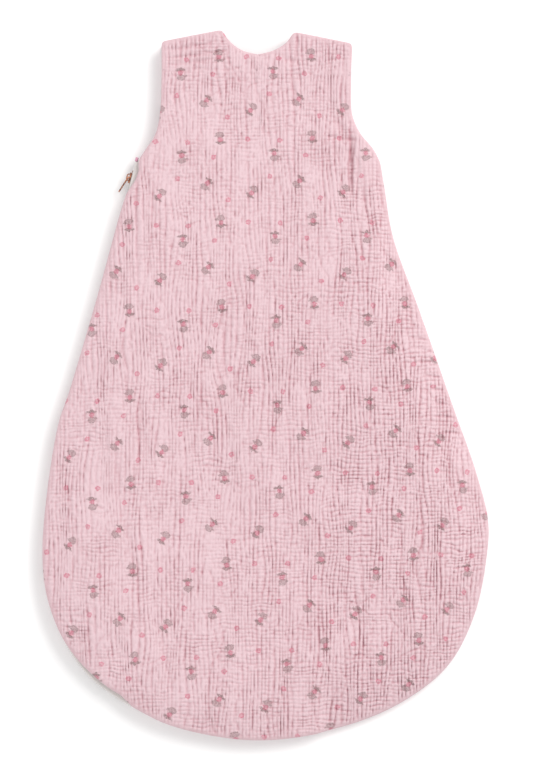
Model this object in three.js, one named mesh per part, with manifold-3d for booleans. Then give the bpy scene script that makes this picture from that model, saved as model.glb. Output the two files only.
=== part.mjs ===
// Baby sleeping bag, 700 mm long, sleeveless, laid face down: the back panel is on top and the front panel rests
// on the surface. Both panels are three plies (gauze, wadding, lining). A side zip runs from the left underarm
// round the foot, two press studs close each shoulder, and the right side is a plain seam.
// Frame: millimetres, +Z up, +Y towards the neck, -X is the wearer's left (the zip side).
// The origin is the centre of the footprint, on the surface.

import * as THREE from "three";
import { mergeVertices } from "three/addons/utils/BufferGeometryUtils.js";
import Module from "manifold-3d";

const wasm = await Module();
wasm.setup();

// ---------------------------------------------------------------- driving dimensions

const GAUZE = 1.2; // double gauze or lining, with its crinkle
const PLY_GAP = 0.3; // plies touch, kept as a small gap
const BODY_WADDING = 4;
const STRAP_WADDING = 1.5;
const FRONT_TOP = 2 * GAUZE + BODY_WADDING + 2 * PLY_GAP; // the front panel's upper face
const ZIP_SLOT = 9.3; // height of the gap that the zip closes
const BACK_EDGE = FRONT_TOP + ZIP_SLOT; // underside of the back panel along the zip
const SEAM_EDGE = FRONT_TOP + PLY_GAP; // underside of the back panel along the seam
const BODY_RISE = 25; // underside of the back panel over the body
const RISE_WIDTH = 70; // how far in from its edge the back panel keeps rising
const FOLD_X = 106; // the line where the back panel folds open, clear of the seam
const FOLD_GAP = 0.6; // gap between two plies that part at a fold

const STUD_RADIUS = 4.8;
const STUD_SIDES = 14;
const STUD_INSET = 12; // stud centre, down from the shoulder edge
const SHANK_RADIUS = 1.5;
const SHANK_HOLE_RADIUS = 1.9;

const ZIP_CENTRE = FRONT_TOP + ZIP_SLOT / 2;
const COIL_REACH = 2.2; // half the chain's width
const COIL_HALF = 1.2; // half the chain's thickness
const COIL_PARTING = 0.6; // each coil's distance from the chain's middle
const TAPE_HALF = 0.4;
const TAPE_EDGE = 2.5; // tape starts here, beside its coil
const TAPE_FLANGE = 6; // width of the tape's sewn edge
const SLIDER_HALF_WIDTH = 3.45;

// ---------------------------------------------------------------- outlines

const points = (list) => list.map(([x, y]) => new THREE.Vector3(x, y, 0));

// A smooth run through a few points, as 2-D points.
function run(list, steps) {
  const curve = new THREE.CatmullRomCurve3(points(list), false, "centripetal");
  return curve.getPoints(steps).map((p) => new THREE.Vector2(p.x, p.y));
}

const LEFT_TIP = [-43.5, 350];
const LEFT_SHOULDER = [-103, 338.5];
const LEFT_UNDERARM = [-126, 221];
const RIGHT_TIP = [27.5, 348];
const RIGHT_SHOULDER = [85, 336.5];
const RIGHT_UNDERARM = [112.5, 219.5];

const rightArmhole = run([RIGHT_SHOULDER, [83.8, 300], [85, 266], [93, 247.5], [105, 233], RIGHT_UNDERARM], 9);
const leftArmhole = run([LEFT_UNDERARM, [-118.5, 232], [-109, 247], [-104.5, 267], [-103, 300], LEFT_SHOULDER], 9);
const skirt = run(
  [
    RIGHT_UNDERARM, [117, 194], [125.5, 146], [151, 75], [185, -22], [207.5, -86], [219.5, -135], [218, -170],
    [206, -227], [180, -277], [135, -313], [74, -338], [-10, -350], [-92, -336], [-132, -317], [-161, -300],
    [-187, -272], [-205, -240], [-216.5, -205], [-220.2, -170], [-217.5, -122], [-204.6, -38.5], [-194, -7],
    [-166, 88], [-139.8, 182], [-131, 205], LEFT_UNDERARM,
  ],
  54,
);
const backNeck = run([LEFT_TIP, [-36, 339], [-24, 330], [-8, 325.5], [8, 330], [20, 337.5], RIGHT_TIP], 10);
const frontNeck = run([LEFT_TIP, [-40, 322], [-27, 299], [-8, 290], [11, 299], [24, 322], RIGHT_TIP], 12);

// A panel's outline: shoulder, armhole, skirt, armhole, shoulder, then its own neckline.
function outline(neck) {
  return [...rightArmhole, ...skirt.slice(1), ...leftArmhole.slice(1), ...neck];
}
const backOutline = outline(backNeck);
const frontOutline = outline(frontNeck);

// ---------------------------------------------------------------- solids

function solidOf(geometry) {
  const bare = geometry.index ? geometry.toNonIndexed() : geometry.clone();
  bare.deleteAttribute("normal");
  bare.deleteAttribute("uv");
  const merged = mergeVertices(bare, 1e-4);
  const mesh = new wasm.Mesh({
    numProp: 3,
    vertProperties: new Float32Array(merged.attributes.position.array),
    triVerts: new Uint32Array(merged.index.array),
  });
  return new wasm.Manifold(mesh);
}

function geometryOf(solid) {
  const mesh = solid.getMesh();
  const geometry = new THREE.BufferGeometry();
  geometry.setAttribute("position", new THREE.BufferAttribute(new Float32Array(mesh.vertProperties), 3));
  geometry.setIndex(new THREE.BufferAttribute(new Uint32Array(mesh.triVerts), 1));
  return geometry;
}

// A prism of an outline between two heights.
function prism(outlinePoints, low, high) {
  const geometry = new THREE.ExtrudeGeometry(new THREE.Shape(outlinePoints), {
    depth: high - low,
    bevelEnabled: false,
  });
  return geometry.translate(0, 0, low);
}

function box(x0, x1, y0, y1, z0, z1) {
  const geometry = new THREE.BoxGeometry(x1 - x0, y1 - y0, z1 - z0);
  return geometry.translate((x0 + x1) / 2, (y0 + y1) / 2, (z0 + z1) / 2);
}

// A standing cylinder.
function peg(x, y, radius, low, high) {
  const geometry = new THREE.CylinderGeometry(radius, radius, high - low, STUD_SIDES);
  return geometry.rotateX(Math.PI / 2).translate(x, y, (low + high) / 2);
}

// A closed strip: each ring is a low row and a high row of the same number of points, and rings are joined in order.
function strip(rings) {
  const width = rings[0].low.length;
  const around = 2 * width;
  const positions = [];
  const faces = [];
  rings.forEach(({ low, high }) => {
    [...low, ...[...high].reverse()].forEach((p) => positions.push(p.x, p.y, p.z));
  });
  for (let r = 0; r + 1 < rings.length; r++) {
    for (let k = 0; k < around; k++) {
      const a = r * around + k;
      const b = r * around + ((k + 1) % around);
      // The low and high faces are split along the same diagonal, so that stacked plies never cross.
      if (k < width) {
        faces.push(a, b, b + around, a, b + around, a + around);
      } else {
        faces.push(a, b, a + around, b, b + around, a + around);
      }
    }
  }
  const last = (rings.length - 1) * around;
  for (let k = 0; k + 1 < width; k++) {
    const opposite = around - 1 - k;
    faces.push(k, opposite, k + 1, k + 1, opposite, opposite - 1);
    faces.push(last + k, last + k + 1, last + opposite, last + k + 1, last + opposite - 1, last + opposite);
  }
  const geometry = new THREE.BufferGeometry();
  geometry.setAttribute("position", new THREE.BufferAttribute(new Float32Array(positions), 3));
  geometry.setIndex(faces);
  return signedVolume(geometry) < 0 ? turned(geometry) : geometry;
}

function signedVolume(geometry) {
  const corner = (i) => new THREE.Vector3().fromBufferAttribute(geometry.attributes.position, geometry.index.getX(i));
  let sum = 0;
  for (let i = 0; i < geometry.index.count; i += 3) {
    sum += corner(i).dot(corner(i + 1).cross(corner(i + 2))) / 6;
  }
  return sum;
}

function turned(geometry) {
  const index = Array.from(geometry.index.array);
  for (let i = 0; i < index.length; i += 3) {
    [index[i + 1], index[i + 2]] = [index[i + 2], index[i + 1]];
  }
  geometry.setIndex(index);
  return geometry;
}

// ---------------------------------------------------------------- the back panel's height

const smooth = THREE.MathUtils.smoothstep;

function edgeDistance(x, y) {
  const p = new THREE.Vector2(x, y);
  let best = Infinity;
  skirt.forEach((a, i) => {
    if (i === 0) {
      return;
    }
    const b = skirt[i - 1];
    const along = b.clone().sub(a);
    const t = THREE.MathUtils.clamp(p.clone().sub(a).dot(along) / along.lengthSq(), 0, 1);
    best = Math.min(best, p.distanceTo(a.clone().addScaledVector(along, t)));
  });
  return best;
}

// The width of the bag at a height up its length, a little wider than the outline.
function widthAt(y) {
  const margin = 4;
  const level = THREE.MathUtils.clamp(y, -338, 336);
  const crossings = [];
  backOutline.forEach((a, i) => {
    const b = backOutline[(i + 1) % backOutline.length];
    if (a.y <= level !== b.y <= level) {
      crossings.push(a.x + ((b.x - a.x) * (level - a.y)) / (b.y - a.y));
    }
  });
  return [Math.min(...crossings) - margin, Math.max(...crossings) + margin];
}

// Underside of the back panel. It stands high along the zip, armholes and neck, and comes down to the seam, which
// takes over from the zip at the foot.
function rise(x, y, onEdge) {
  const seamStart = THREE.MathUtils.lerp(FOLD_X, 48, smooth(-y, 150, 300));
  const seamSide = smooth(x, seamStart, seamStart + 16) * (1 - smooth(y, 200, 235));
  const edge = THREE.MathUtils.lerp(BACK_EDGE, SEAM_EDGE, seamSide);
  const plateau = THREE.MathUtils.lerp(BODY_RISE, BACK_EDGE, smooth(y, 90, 285));
  const inward = onEdge ? 0 : Math.min(1, edgeDistance(x, y) / RISE_WIDTH);
  const share = 1 - (1 - inward) ** 2;
  return THREE.MathUtils.lerp(edge, plateau, y > 285 ? 1 : share);
}

const waddingAt = (y) => THREE.MathUtils.lerp(BODY_WADDING, STRAP_WADDING, smooth(y, 230, 300));

const ROWS = [-354, -340, -322, -296, -262, -220, -170, -110, -45, 25, 90, 140, 185, 212, 235, 262, 290, 312, 334, 354];
const COLUMNS = [-1, -0.93, -0.8, -0.6, -0.35, -0.1, 0.15, 0.35, 0.47, 0.6, 0.8, 0.93, 1];

// One ply of the back panel, between two heights above its underside, before it is cut to the outline.
function backPly(lowAt, highAt) {
  const rings = ROWS.map((y) => {
    const [left, right] = widthAt(y);
    const at = (share) => {
      const x = THREE.MathUtils.lerp(left, right, (share + 1) / 2);
      return [x, rise(x, y, Math.abs(share) === 1 || y < -350)];
    };
    const row = (offset) => COLUMNS.map(at).map(([x, z]) => new THREE.Vector3(x, y, z + offset));
    return { low: row(lowAt(y)), high: row(highAt(y)) };
  });
  return solidOf(strip(rings)).intersect(solidOf(prism(backOutline, 0, 60)));
}

const backPlies = {
  lining: backPly(() => 0, () => GAUZE),
  wadding: backPly(() => GAUZE + PLY_GAP, (y) => GAUZE + PLY_GAP + waddingAt(y)),
  outer_gauze: backPly((y) => GAUZE + 2 * PLY_GAP + waddingAt(y), (y) => 2 * GAUZE + 2 * PLY_GAP + waddingAt(y)),
};

// ---------------------------------------------------------------- shoulders

// Each shoulder: its edge from outer to inner end, the line that it folds on, and its studs.
const FOLD_DEPTH = 24.5; // shoulder edge to fold line
const TAB_LENGTH = 22;
const TAB_LOW = FRONT_TOP + 3.8; // underside of the tab, over the studs
const TAB_HIGH = TAB_LOW + 2.4;
const TAB_WALL = 2.2;

function shoulder(name, outer, inner) {
  const start = new THREE.Vector2(...outer);
  const end = new THREE.Vector2(...inner);
  const along = end.clone().sub(start).normalize();
  const side = Math.sign(end.x - start.x);
  const down = new THREE.Vector2(along.y, -along.x).multiplyScalar(side);
  const at = (share, depth) => start.clone().lerp(end, share).addScaledVector(down, depth);
  return { name, start, end, along, down, at, length: start.distanceTo(end), side };
}
const SHOULDERS = [
  shoulder("left", LEFT_SHOULDER, LEFT_TIP),
  shoulder("right", RIGHT_SHOULDER, RIGHT_TIP),
];

// The area above a shoulder's fold line, moved down by a gap, and cut off at the neck's middle.
function shoulderArea(s, gap) {
  const middle = -8;
  const low = (x) => {
    const p = s.at(0, FOLD_DEPTH + gap);
    return p.y + ((x - p.x) * s.along.y) / s.along.x;
  };
  const outerX = s.start.x - 12 * s.side;
  const corners = [
    [outerX, low(outerX)],
    [middle, low(middle)],
    [middle, 360],
    [outerX, 360],
  ].map(([x, y]) => new THREE.Vector2(x, y));
  return solidOf(prism(corners, 0, 60));
}

// The shoulder edge's own area, where the tab wraps the plies.
function tabWallArea(s) {
  const corners = [s.at(-0.2, -12), s.at(1.2, -12), s.at(1.2, TAB_WALL + PLY_GAP), s.at(-0.2, TAB_WALL + PLY_GAP)];
  return solidOf(prism(corners, 0, 60));
}

// The tab: the strap's end, turned over the shoulder and under, as a J-shaped strip along the shoulder.
function tab(s) {
  const profile = {
    low: [[0, BACK_EDGE + 2 * GAUZE + 2 * PLY_GAP + STRAP_WADDING], [0, TAB_LOW], [TAB_LENGTH, TAB_LOW]],
    high: [
      [TAB_WALL, BACK_EDGE + 2 * GAUZE + 2 * PLY_GAP + STRAP_WADDING],
      [TAB_WALL, TAB_HIGH],
      [TAB_LENGTH, TAB_HIGH],
    ],
  };
  const ring = (share) => {
    const row = (list) => list.map(([depth, z]) => new THREE.Vector3(...s.at(share, depth).toArray(), z));
    return { low: row(profile.low), high: row(profile.high) };
  };
  const solid = solidOf(strip([ring(0.04), ring(0.96)]));
  return s.studs.reduce((kept, p) => kept.subtract(solidOf(peg(p.x, p.y, SHANK_HOLE_RADIUS, 0, 60))), solid);
}
SHOULDERS.forEach((s) => {
  s.studs = [0.27, 0.73].map((share) => s.at(share, STUD_INSET));
});

// ---------------------------------------------------------------- the object

const COLOURS = {
  gauze: [0xe9c3cb, 0.92, 0],
  lining: [0xf1dfe0, 0.92, 0],
  wadding: [0xf3f1ec, 0.95, 0],
  tape: [0xdedad6, 0.85, 0],
  coil: [0xd3cfcb, 0.5, 0],
  copper: [0xb5714f, 0.3, 1],
  snap: [0xd8a4af, 0.4, 0],
  label: [0xf6f5f2, 0.6, 0],
};
const materials = Object.fromEntries(
  Object.entries(COLOURS).map(([key, [color, roughness, metalness]]) => [
    key,
    new THREE.MeshStandardMaterial({ color, roughness, metalness, name: key }),
  ]),
);

const bag = new THREE.Group();
function add(name, geometry, material, parent = bag) {
  const mesh = new THREE.Mesh(geometry, materials[material]);
  mesh.name = name;
  parent.add(mesh);
  return mesh;
}
const addSolid = (name, solid, material) => add(name, geometryOf(solid), material);

// The back panel is cut into the flap that folds open, the side that stays on the seam, and the two shoulders.
const plyMaterial = { lining: "lining", wadding: "wadding", outer_gauze: "gauze" };
const flapArea = solidOf(box(-260, FOLD_X - FOLD_GAP / 2, -360, 360, 0, 60));
const sideArea = solidOf(box(FOLD_X + FOLD_GAP / 2, 260, -360, 360, 0, 60));
Object.entries(backPlies).forEach(([ply, solid]) => {
  addSolid(`side_${ply}`, solid.intersect(sideArea), plyMaterial[ply]);
  let flap = solid.intersect(flapArea);
  SHOULDERS.forEach((s) => {
    const strap = flap.intersect(shoulderArea(s, 0)).subtract(tabWallArea(s));
    addSolid(`${s.name}_shoulder_${ply}`, strap, plyMaterial[ply]);
    flap = flap.subtract(shoulderArea(s, FOLD_GAP));
  });
  addSolid(`back_${ply}`, flap, plyMaterial[ply]);
});

// The front panel lies flat. Its gauze is pressed up round each stud cap, and every ply has the shanks' holes.
function frontPly(low, high, holeRadius) {
  const studs = SHOULDERS.flatMap((s) => s.studs);
  return studs.reduce(
    (kept, p) => kept.subtract(solidOf(peg(p.x, p.y, holeRadius, -1, 60))),
    solidOf(prism(frontOutline, low, high)),
  );
}
const frontLiningLow = FRONT_TOP - GAUZE;
addSolid("front_outer_gauze", frontPly(0, GAUZE, STUD_RADIUS + 0.4), "gauze");
addSolid("front_wadding", frontPly(GAUZE + PLY_GAP, frontLiningLow - PLY_GAP, SHANK_HOLE_RADIUS), "wadding");
addSolid("front_lining", frontPly(frontLiningLow, FRONT_TOP, SHANK_HOLE_RADIUS), "lining");

// ---------------------------------------------------------------- press studs

const lathe = (profile) =>
  new THREE.LatheGeometry(
    profile.map(([r, z]) => new THREE.Vector2(r, z)),
    STUD_SIDES,
  ).rotateX(Math.PI / 2);

// Turned pieces, standing on z = 0. A lathe's profile runs from the bottom of the axis to its top.
const CAP_THICK = 1.05;
const FLANGE_THICK = 0.7;
const cap = lathe([
  [0, 0], [STUD_RADIUS - 1, 0], [STUD_RADIUS, 0.5], [STUD_RADIUS, CAP_THICK], [SHANK_RADIUS, CAP_THICK],
  [SHANK_RADIUS, FRONT_TOP - 0.15], [0, FRONT_TOP - 0.15],
]);
const socket = lathe([
  [0, 0], [STUD_RADIUS, 0], [STUD_RADIUS, 1.4], [STUD_RADIUS - 0.6, 2.2], [3.6, 2.2], [2.3, 0.5], [0, 0.5],
]);
const stud = lathe([
  [0, 0], [1.5, 0], [1.9, 0.7], [1.7, 1.9], [STUD_RADIUS, 1.9], [STUD_RADIUS, 1.9 + FLANGE_THICK],
  [0, 1.9 + FLANGE_THICK],
]);
const post = lathe([
  [0, 0], [SHANK_RADIUS, 0], [SHANK_RADIUS, TAB_HIGH - TAB_LOW + PLY_GAP],
  [STUD_RADIUS, TAB_HIGH - TAB_LOW + PLY_GAP], [STUD_RADIUS - 0.5, TAB_HIGH - TAB_LOW + PLY_GAP + FLANGE_THICK],
  [0, TAB_HIGH - TAB_LOW + PLY_GAP + FLANGE_THICK],
]);
const STUD_LEVELS = [
  ["cap", cap, 0.15],
  ["socket", socket, FRONT_TOP + PLY_GAP],
  ["stud", stud, TAB_LOW - PLY_GAP - FLANGE_THICK - 1.9],
  ["post", post, TAB_LOW],
];

SHOULDERS.forEach((s) => {
  addSolid(`${s.name}_shoulder_tab`, tab(s), "gauze");
  s.studs.forEach((place, i) => {
    const where = ["outer", "inner"][i];
    STUD_LEVELS.forEach(([kind, geometry, level]) => {
      add(`${s.name}_${where}_snap_${kind}`, geometry, "snap").position.set(place.x, place.y, level);
    });
  });
});

// ---------------------------------------------------------------- zip

// The chain's line: straight down the side, where the slider travels, then round the foot.
const ZIP_SLOPE = 0.27; // sideways for each millimetre down
const SLIDER_HOME = new THREE.Vector2(-132.5, 205);
const zipDown = new THREE.Vector2(-ZIP_SLOPE, -1).normalize();
const zipPoint = (distance) => SLIDER_HOME.clone().addScaledVector(zipDown, distance);
const STRAIGHT_RUN = 252; // below the slider's home
const footRun = run(
  [
    zipPoint(STRAIGHT_RUN).toArray(), [-207, -72], [-213.5, -110], [-216.8, -150], [-216.2, -190], [-209, -228],
    [-195, -260], [-174, -288], [-148, -308], [-114, -325], [-70, -337.5], [-10, -344.5], [40, -341],
  ],
  30,
);

// A band along the zip, from a distance above the slider's home to the foot end. Its profile is given as
// [inward, height from the chain's middle], in two rows.
function zipBand(above, profile) {
  const line = [zipPoint(-above), ...footRun];
  const rings = line.map((p, i) => {
    const before = line[Math.max(i - 1, 0)];
    const after = line[Math.min(i + 1, line.length - 1)];
    const ahead = i === 1 ? zipDown.clone() : after.clone().sub(before).normalize();
    const inward = new THREE.Vector2(-ahead.y, ahead.x);
    const row = (list) =>
      list.map(([n, h]) => new THREE.Vector3(p.x + inward.x * n, p.y + inward.y * n, ZIP_CENTRE + h));
    return { low: row(profile.low), high: row(profile.high) };
  });
  return strip(rings);
}
const mirrored = (profile) => ({
  low: profile.low.map(([n, h]) => [n, -h]),
  high: profile.high.map(([n, h]) => [n, -h]),
});
const coilProfile = {
  low: [[-COIL_HALF, COIL_PARTING], [-COIL_HALF, COIL_REACH]],
  high: [[COIL_HALF, COIL_PARTING], [COIL_HALF, COIL_REACH]],
};
const FLANGE_HIGH = ZIP_SLOT / 2 - PLY_GAP;
const FLANGE_LOW = FLANGE_HIGH - 0.6;
const tapeProfile = {
  low: [[-TAPE_HALF, TAPE_EDGE], [-TAPE_HALF, FLANGE_HIGH], [TAPE_FLANGE, FLANGE_HIGH]],
  high: [[TAPE_HALF, TAPE_EDGE], [TAPE_HALF, FLANGE_LOW], [TAPE_FLANGE, FLANGE_LOW]],
};
const COIL_ABOVE = 4;
const TAPE_ABOVE = 16;
add("zip_coil_back", zipBand(COIL_ABOVE, coilProfile), "coil");
add("zip_coil_front", zipBand(COIL_ABOVE, mirrored(coilProfile)), "coil");
add("zip_tape_back", zipBand(TAPE_ABOVE, tapeProfile), "tape");
add("zip_tape_front", zipBand(TAPE_ABOVE, mirrored(tapeProfile)), "tape");

// The slider's frame: +Y up the zip, -X out of the bag, at the chain's middle.
const sliderFrame = new THREE.Group();
sliderFrame.position.set(SLIDER_HOME.x, SLIDER_HOME.y, ZIP_CENTRE);
sliderFrame.rotation.z = -Math.atan(ZIP_SLOPE);
bag.add(sliderFrame);

const STOP_LOW = 4.9;
const stopBlock = (low, high) => box(-1.1, 1.1, STOP_LOW, STOP_LOW + 2, low, high);
add("zip_top_stop_back", stopBlock(COIL_PARTING, COIL_REACH), "copper", sliderFrame);
add("zip_top_stop_front", stopBlock(-COIL_REACH, -COIL_PARTING), "copper", sliderFrame);
add("zip_end_tab", box(-1.3, 1.3, TAPE_ABOVE + PLY_GAP, TAPE_ABOVE + 4.5, -4.2, 4.2), "gauze", sliderFrame);

// The bottom stop bridges both coils at the foot end.
const footEnd = footRun[footRun.length - 1];
const footAhead = footEnd.clone().sub(footRun[footRun.length - 2]).normalize();
const bottomStop = box(-1.2, 1.2, -4.4, -0.4, -COIL_REACH, COIL_REACH);
const bottomMesh = add("zip_bottom_stop", bottomStop, "copper");
bottomMesh.position.set(footEnd.x, footEnd.y, ZIP_CENTRE);
bottomMesh.rotation.z = Math.atan2(footAhead.x, -footAhead.y);

// Slider body: two wings, their flanges, and the wedge at the nose that parts the coils.
const WING_INNER = 1.5;
const WING_OUTER = 2.5;
function wing(x0, x1) {
  const w = SLIDER_HALF_WIDTH;
  const shape = new THREE.Shape(
    [[-w + 0.5, 4.5], [-w, 3.2], [-w + 0.35, -6], [w - 0.35, -6], [w, 3.2], [w - 0.5, 4.5]].map(
      ([z, y]) => new THREE.Vector2(z, y),
    ),
  );
  const plate = new THREE.ExtrudeGeometry(shape, { depth: x1 - x0, bevelEnabled: false });
  return plate.rotateY(-Math.PI / 2).translate(x1, 0, 0);
}
const flanges = [-1, 1].flatMap((face) =>
  [-1, 1].map((edge) => {
    const xs = [face * 0.75, face * (WING_INNER + 0.5)].sort((a, b) => a - b);
    const zs = [edge * 2.75, edge * (SLIDER_HALF_WIDTH - 0.36)].sort((a, b) => a - b);
    return box(xs[0], xs[1], -5.8, 2.6, zs[0], zs[1]);
  }),
);
const sliderSolid = [
  wing(-WING_OUTER, -WING_INNER),
  wing(WING_INNER, WING_OUTER),
  ...flanges,
  box(-WING_INNER - 0.5, WING_INNER + 0.5, 1.4, 4.2, -0.3, 0.3),
]
  .map(solidOf)
  .reduce((kept, next) => kept.add(next));
add("zip_slider_body", geometryOf(sliderSolid), "copper", sliderFrame);

// The bridge over the outer wing, which holds the pull tab's crossbar.
const BRIDGE_HALF = 1;
const bridgeShape = new THREE.Shape(
  [[-2.8, 3.4], [-4.6, 2.9], [-5.5, 1.5], [-5.5, -2.5], [-4.6, -3.9], [-2.8, -4.4], [-2.8, -3.2], [-4.1, -2.7],
    [-4.5, -2.1], [-4.5, 1.1], [-4.1, 1.8], [-2.8, 2.3]].map(([x, y]) => new THREE.Vector2(x, y)),
);
const bridge = new THREE.ExtrudeGeometry(bridgeShape, { depth: 2 * BRIDGE_HALF, bevelEnabled: false });
add("zip_slider_bridge", bridge.translate(0, 0, -BRIDGE_HALF), "copper", sliderFrame);

// The pull tab turns on its crossbar. In its own frame it hangs along -Y.
const PULL_REST = THREE.MathUtils.degToRad(18); // off the zip's line, outwards
const pullFrame = new THREE.Group();
pullFrame.position.set(-3.5, -0.6, 0);
pullFrame.rotation.z = -PULL_REST;
sliderFrame.add(pullFrame);
const PULL_THICK = 1.1;
const PULL_HALF = 2.8;
const pullPlate = new THREE.Shape();
pullPlate.moveTo(-PULL_HALF + 0.5, 0.6);
pullPlate.lineTo(-PULL_HALF, -6.5);
pullPlate.lineTo(-PULL_HALF, -14.7);
pullPlate.absarc(0, -14.7, PULL_HALF, Math.PI, 2 * Math.PI, false);
pullPlate.lineTo(PULL_HALF, -6.5);
pullPlate.lineTo(PULL_HALF - 0.5, 0.6);
const pullWindow = new THREE.Path(
  [[-1.3, -0.6], [1.3, -0.6], [1.3, -5.4], [-1.3, -5.4]].map(([z, y]) => new THREE.Vector2(z, y)),
);
const pullEye = new THREE.Path().absarc(0, -14.5, 1.1, 0, 2 * Math.PI, true);
pullPlate.holes.push(pullWindow, pullEye);
const pull = new THREE.ExtrudeGeometry(pullPlate, { depth: PULL_THICK, bevelEnabled: false, curveSegments: 8 });
add("zip_pull_tab", pull.translate(0, 0, -PULL_THICK / 2).rotateY(Math.PI / 2), "copper", pullFrame);

// ---------------------------------------------------------------- care label, blank, sewn inside the seam

const LABEL_THICK = 0.5;
const labelLow = FRONT_TOP + PLY_GAP;
add("care_label", box(140, 180, -46, -18, labelLow, labelLow + LABEL_THICK), "label");

export default bag;
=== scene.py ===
# %% [markdown]
# # A baby's sleeping bag, laid face down
#
# The bag is crinkled double gauze over wadding, with a smooth lining, a side zip and press studs at the
# shoulders. This lesson builds it around a fixed frame. The frame says where each piece is and how it
# moves, and the script only makes what is seen. It loads first, because every size and place is read from
# it.

# %% Load the frame
import math

import bmesh
import bpy
import numpy as np
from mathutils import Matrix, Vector
from mathutils.kdtree import KDTree


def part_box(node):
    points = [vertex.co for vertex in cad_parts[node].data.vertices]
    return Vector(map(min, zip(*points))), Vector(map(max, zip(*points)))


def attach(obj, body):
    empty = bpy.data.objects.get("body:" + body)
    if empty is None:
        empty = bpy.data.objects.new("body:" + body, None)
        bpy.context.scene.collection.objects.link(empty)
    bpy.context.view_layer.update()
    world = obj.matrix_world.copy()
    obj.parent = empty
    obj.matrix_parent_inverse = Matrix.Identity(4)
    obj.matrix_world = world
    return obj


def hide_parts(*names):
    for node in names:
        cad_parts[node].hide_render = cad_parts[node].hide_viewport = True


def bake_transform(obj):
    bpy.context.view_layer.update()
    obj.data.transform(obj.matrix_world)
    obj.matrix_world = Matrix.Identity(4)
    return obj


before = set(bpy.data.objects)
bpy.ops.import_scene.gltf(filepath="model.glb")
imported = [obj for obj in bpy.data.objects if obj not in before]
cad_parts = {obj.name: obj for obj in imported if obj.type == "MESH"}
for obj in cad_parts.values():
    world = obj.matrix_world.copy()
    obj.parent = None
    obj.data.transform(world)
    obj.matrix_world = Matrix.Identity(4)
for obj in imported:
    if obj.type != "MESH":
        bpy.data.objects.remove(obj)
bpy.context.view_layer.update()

MM = 0.001

# %% [markdown]
# ## Camera and light
#
# The bag is looked at from straight above, from far enough away that its shape isn't distorted. A long
# lens then frames it. Big soft lamps give cloth its form: one from the upper right that is stronger, so
# that every crease has a light and a dark side, and weaker ones to fill.

# %% Camera
CAMERA_HEIGHT = 2.6
CAMERA_ACROSS = 0.0005
VIEW_HEIGHT = 0.7592  # what the view takes in at the bag's height
BAG_LEVEL = 0.018
SENSOR = 24  # millimetres
FARTHEST = 20

camera_data = bpy.data.cameras.new("camera")
camera_data.sensor_fit = "VERTICAL"
camera_data.sensor_height = SENSOR
camera_data.lens = SENSOR * (CAMERA_HEIGHT - BAG_LEVEL) / VIEW_HEIGHT
camera_data.clip_end = FARTHEST
camera = bpy.data.objects.new("camera", camera_data)
camera.location = (CAMERA_ACROSS, 0, CAMERA_HEIGHT)
bpy.context.scene.collection.objects.link(camera)
bpy.context.scene.camera = camera
bpy.context.scene.view_settings.view_transform = "Standard"
print("lens, mm:", round(camera_data.lens, 1))


# %% Lamps and sky
SKY_LIGHT = 0.75


def lamp(name, place, size, power, colour=(1, 1, 1)):
    """A square soft lamp that faces the middle of the bag."""
    data = bpy.data.lights.new(name, "AREA")
    data.shape = "SQUARE"
    data.size = size
    data.energy = power
    data.color = colour
    piece = bpy.data.objects.new(name, data)
    piece.location = place
    piece.rotation_euler = Vector(place).to_track_quat("Z", "Y").to_euler()
    bpy.context.scene.collection.objects.link(piece)


lamp("key", (3.1, 2.9, 4.4), 3.0, 212, (1, 0.985, 0.97))
lamp("fill", (-2.8, -1.3, 1.7), 1.6, 18)
lamp("top", (0.3, 0.4, 2.3), 1.8, 3)
sky = bpy.data.worlds.new("studio")
sky.use_nodes = True
sky.node_tree.nodes["Background"].inputs["Color"].default_value = (1, 1, 1, 1)
sky.node_tree.nodes["Background"].inputs["Strength"].default_value = SKY_LIGHT
bpy.context.scene.world = sky

# %% [markdown]
# ## Writing finishes as sums
#
# A finish is a tree of nodes, and most of its nodes are sums. Wrapping a socket in a small class with
# plus, minus, times and power lets a pattern be written as it would be on paper. Every other node comes
# from one method.


# %% Sockets that take arithmetic
class Value:
    """A node's output, or a number, that adds Math nodes when it is used in a sum."""

    def __init__(self, finish, socket):
        self.finish = finish
        self.socket = socket

    def sum(self, operation, *others):
        values = {i: v for i, v in enumerate((self, *others))}
        return self.finish.node("ShaderNodeMath", values, operation=operation)

    def __add__(self, other):
        return self.sum("ADD", other)

    def __sub__(self, other):
        return self.sum("SUBTRACT", other)

    def __mul__(self, other):
        return self.sum("MULTIPLY", other)

    def __truediv__(self, other):
        return self.sum("DIVIDE", other)

    def __pow__(self, other):
        return self.sum("POWER", other)

    def __rsub__(self, other):
        return self.finish.node("ShaderNodeMath", {0: other, 1: self}, operation="SUBTRACT")

    __radd__ = __add__
    __rmul__ = __mul__

    def between(self, low, high):
        """0 below low, 1 above high, and a smooth step from one to the other."""
        values = {0: self, 1: low, 2: high, 3: 0.0, 4: 1.0}
        return self.finish.node("ShaderNodeMapRange", values, interpolation_type="SMOOTHSTEP")


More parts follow.
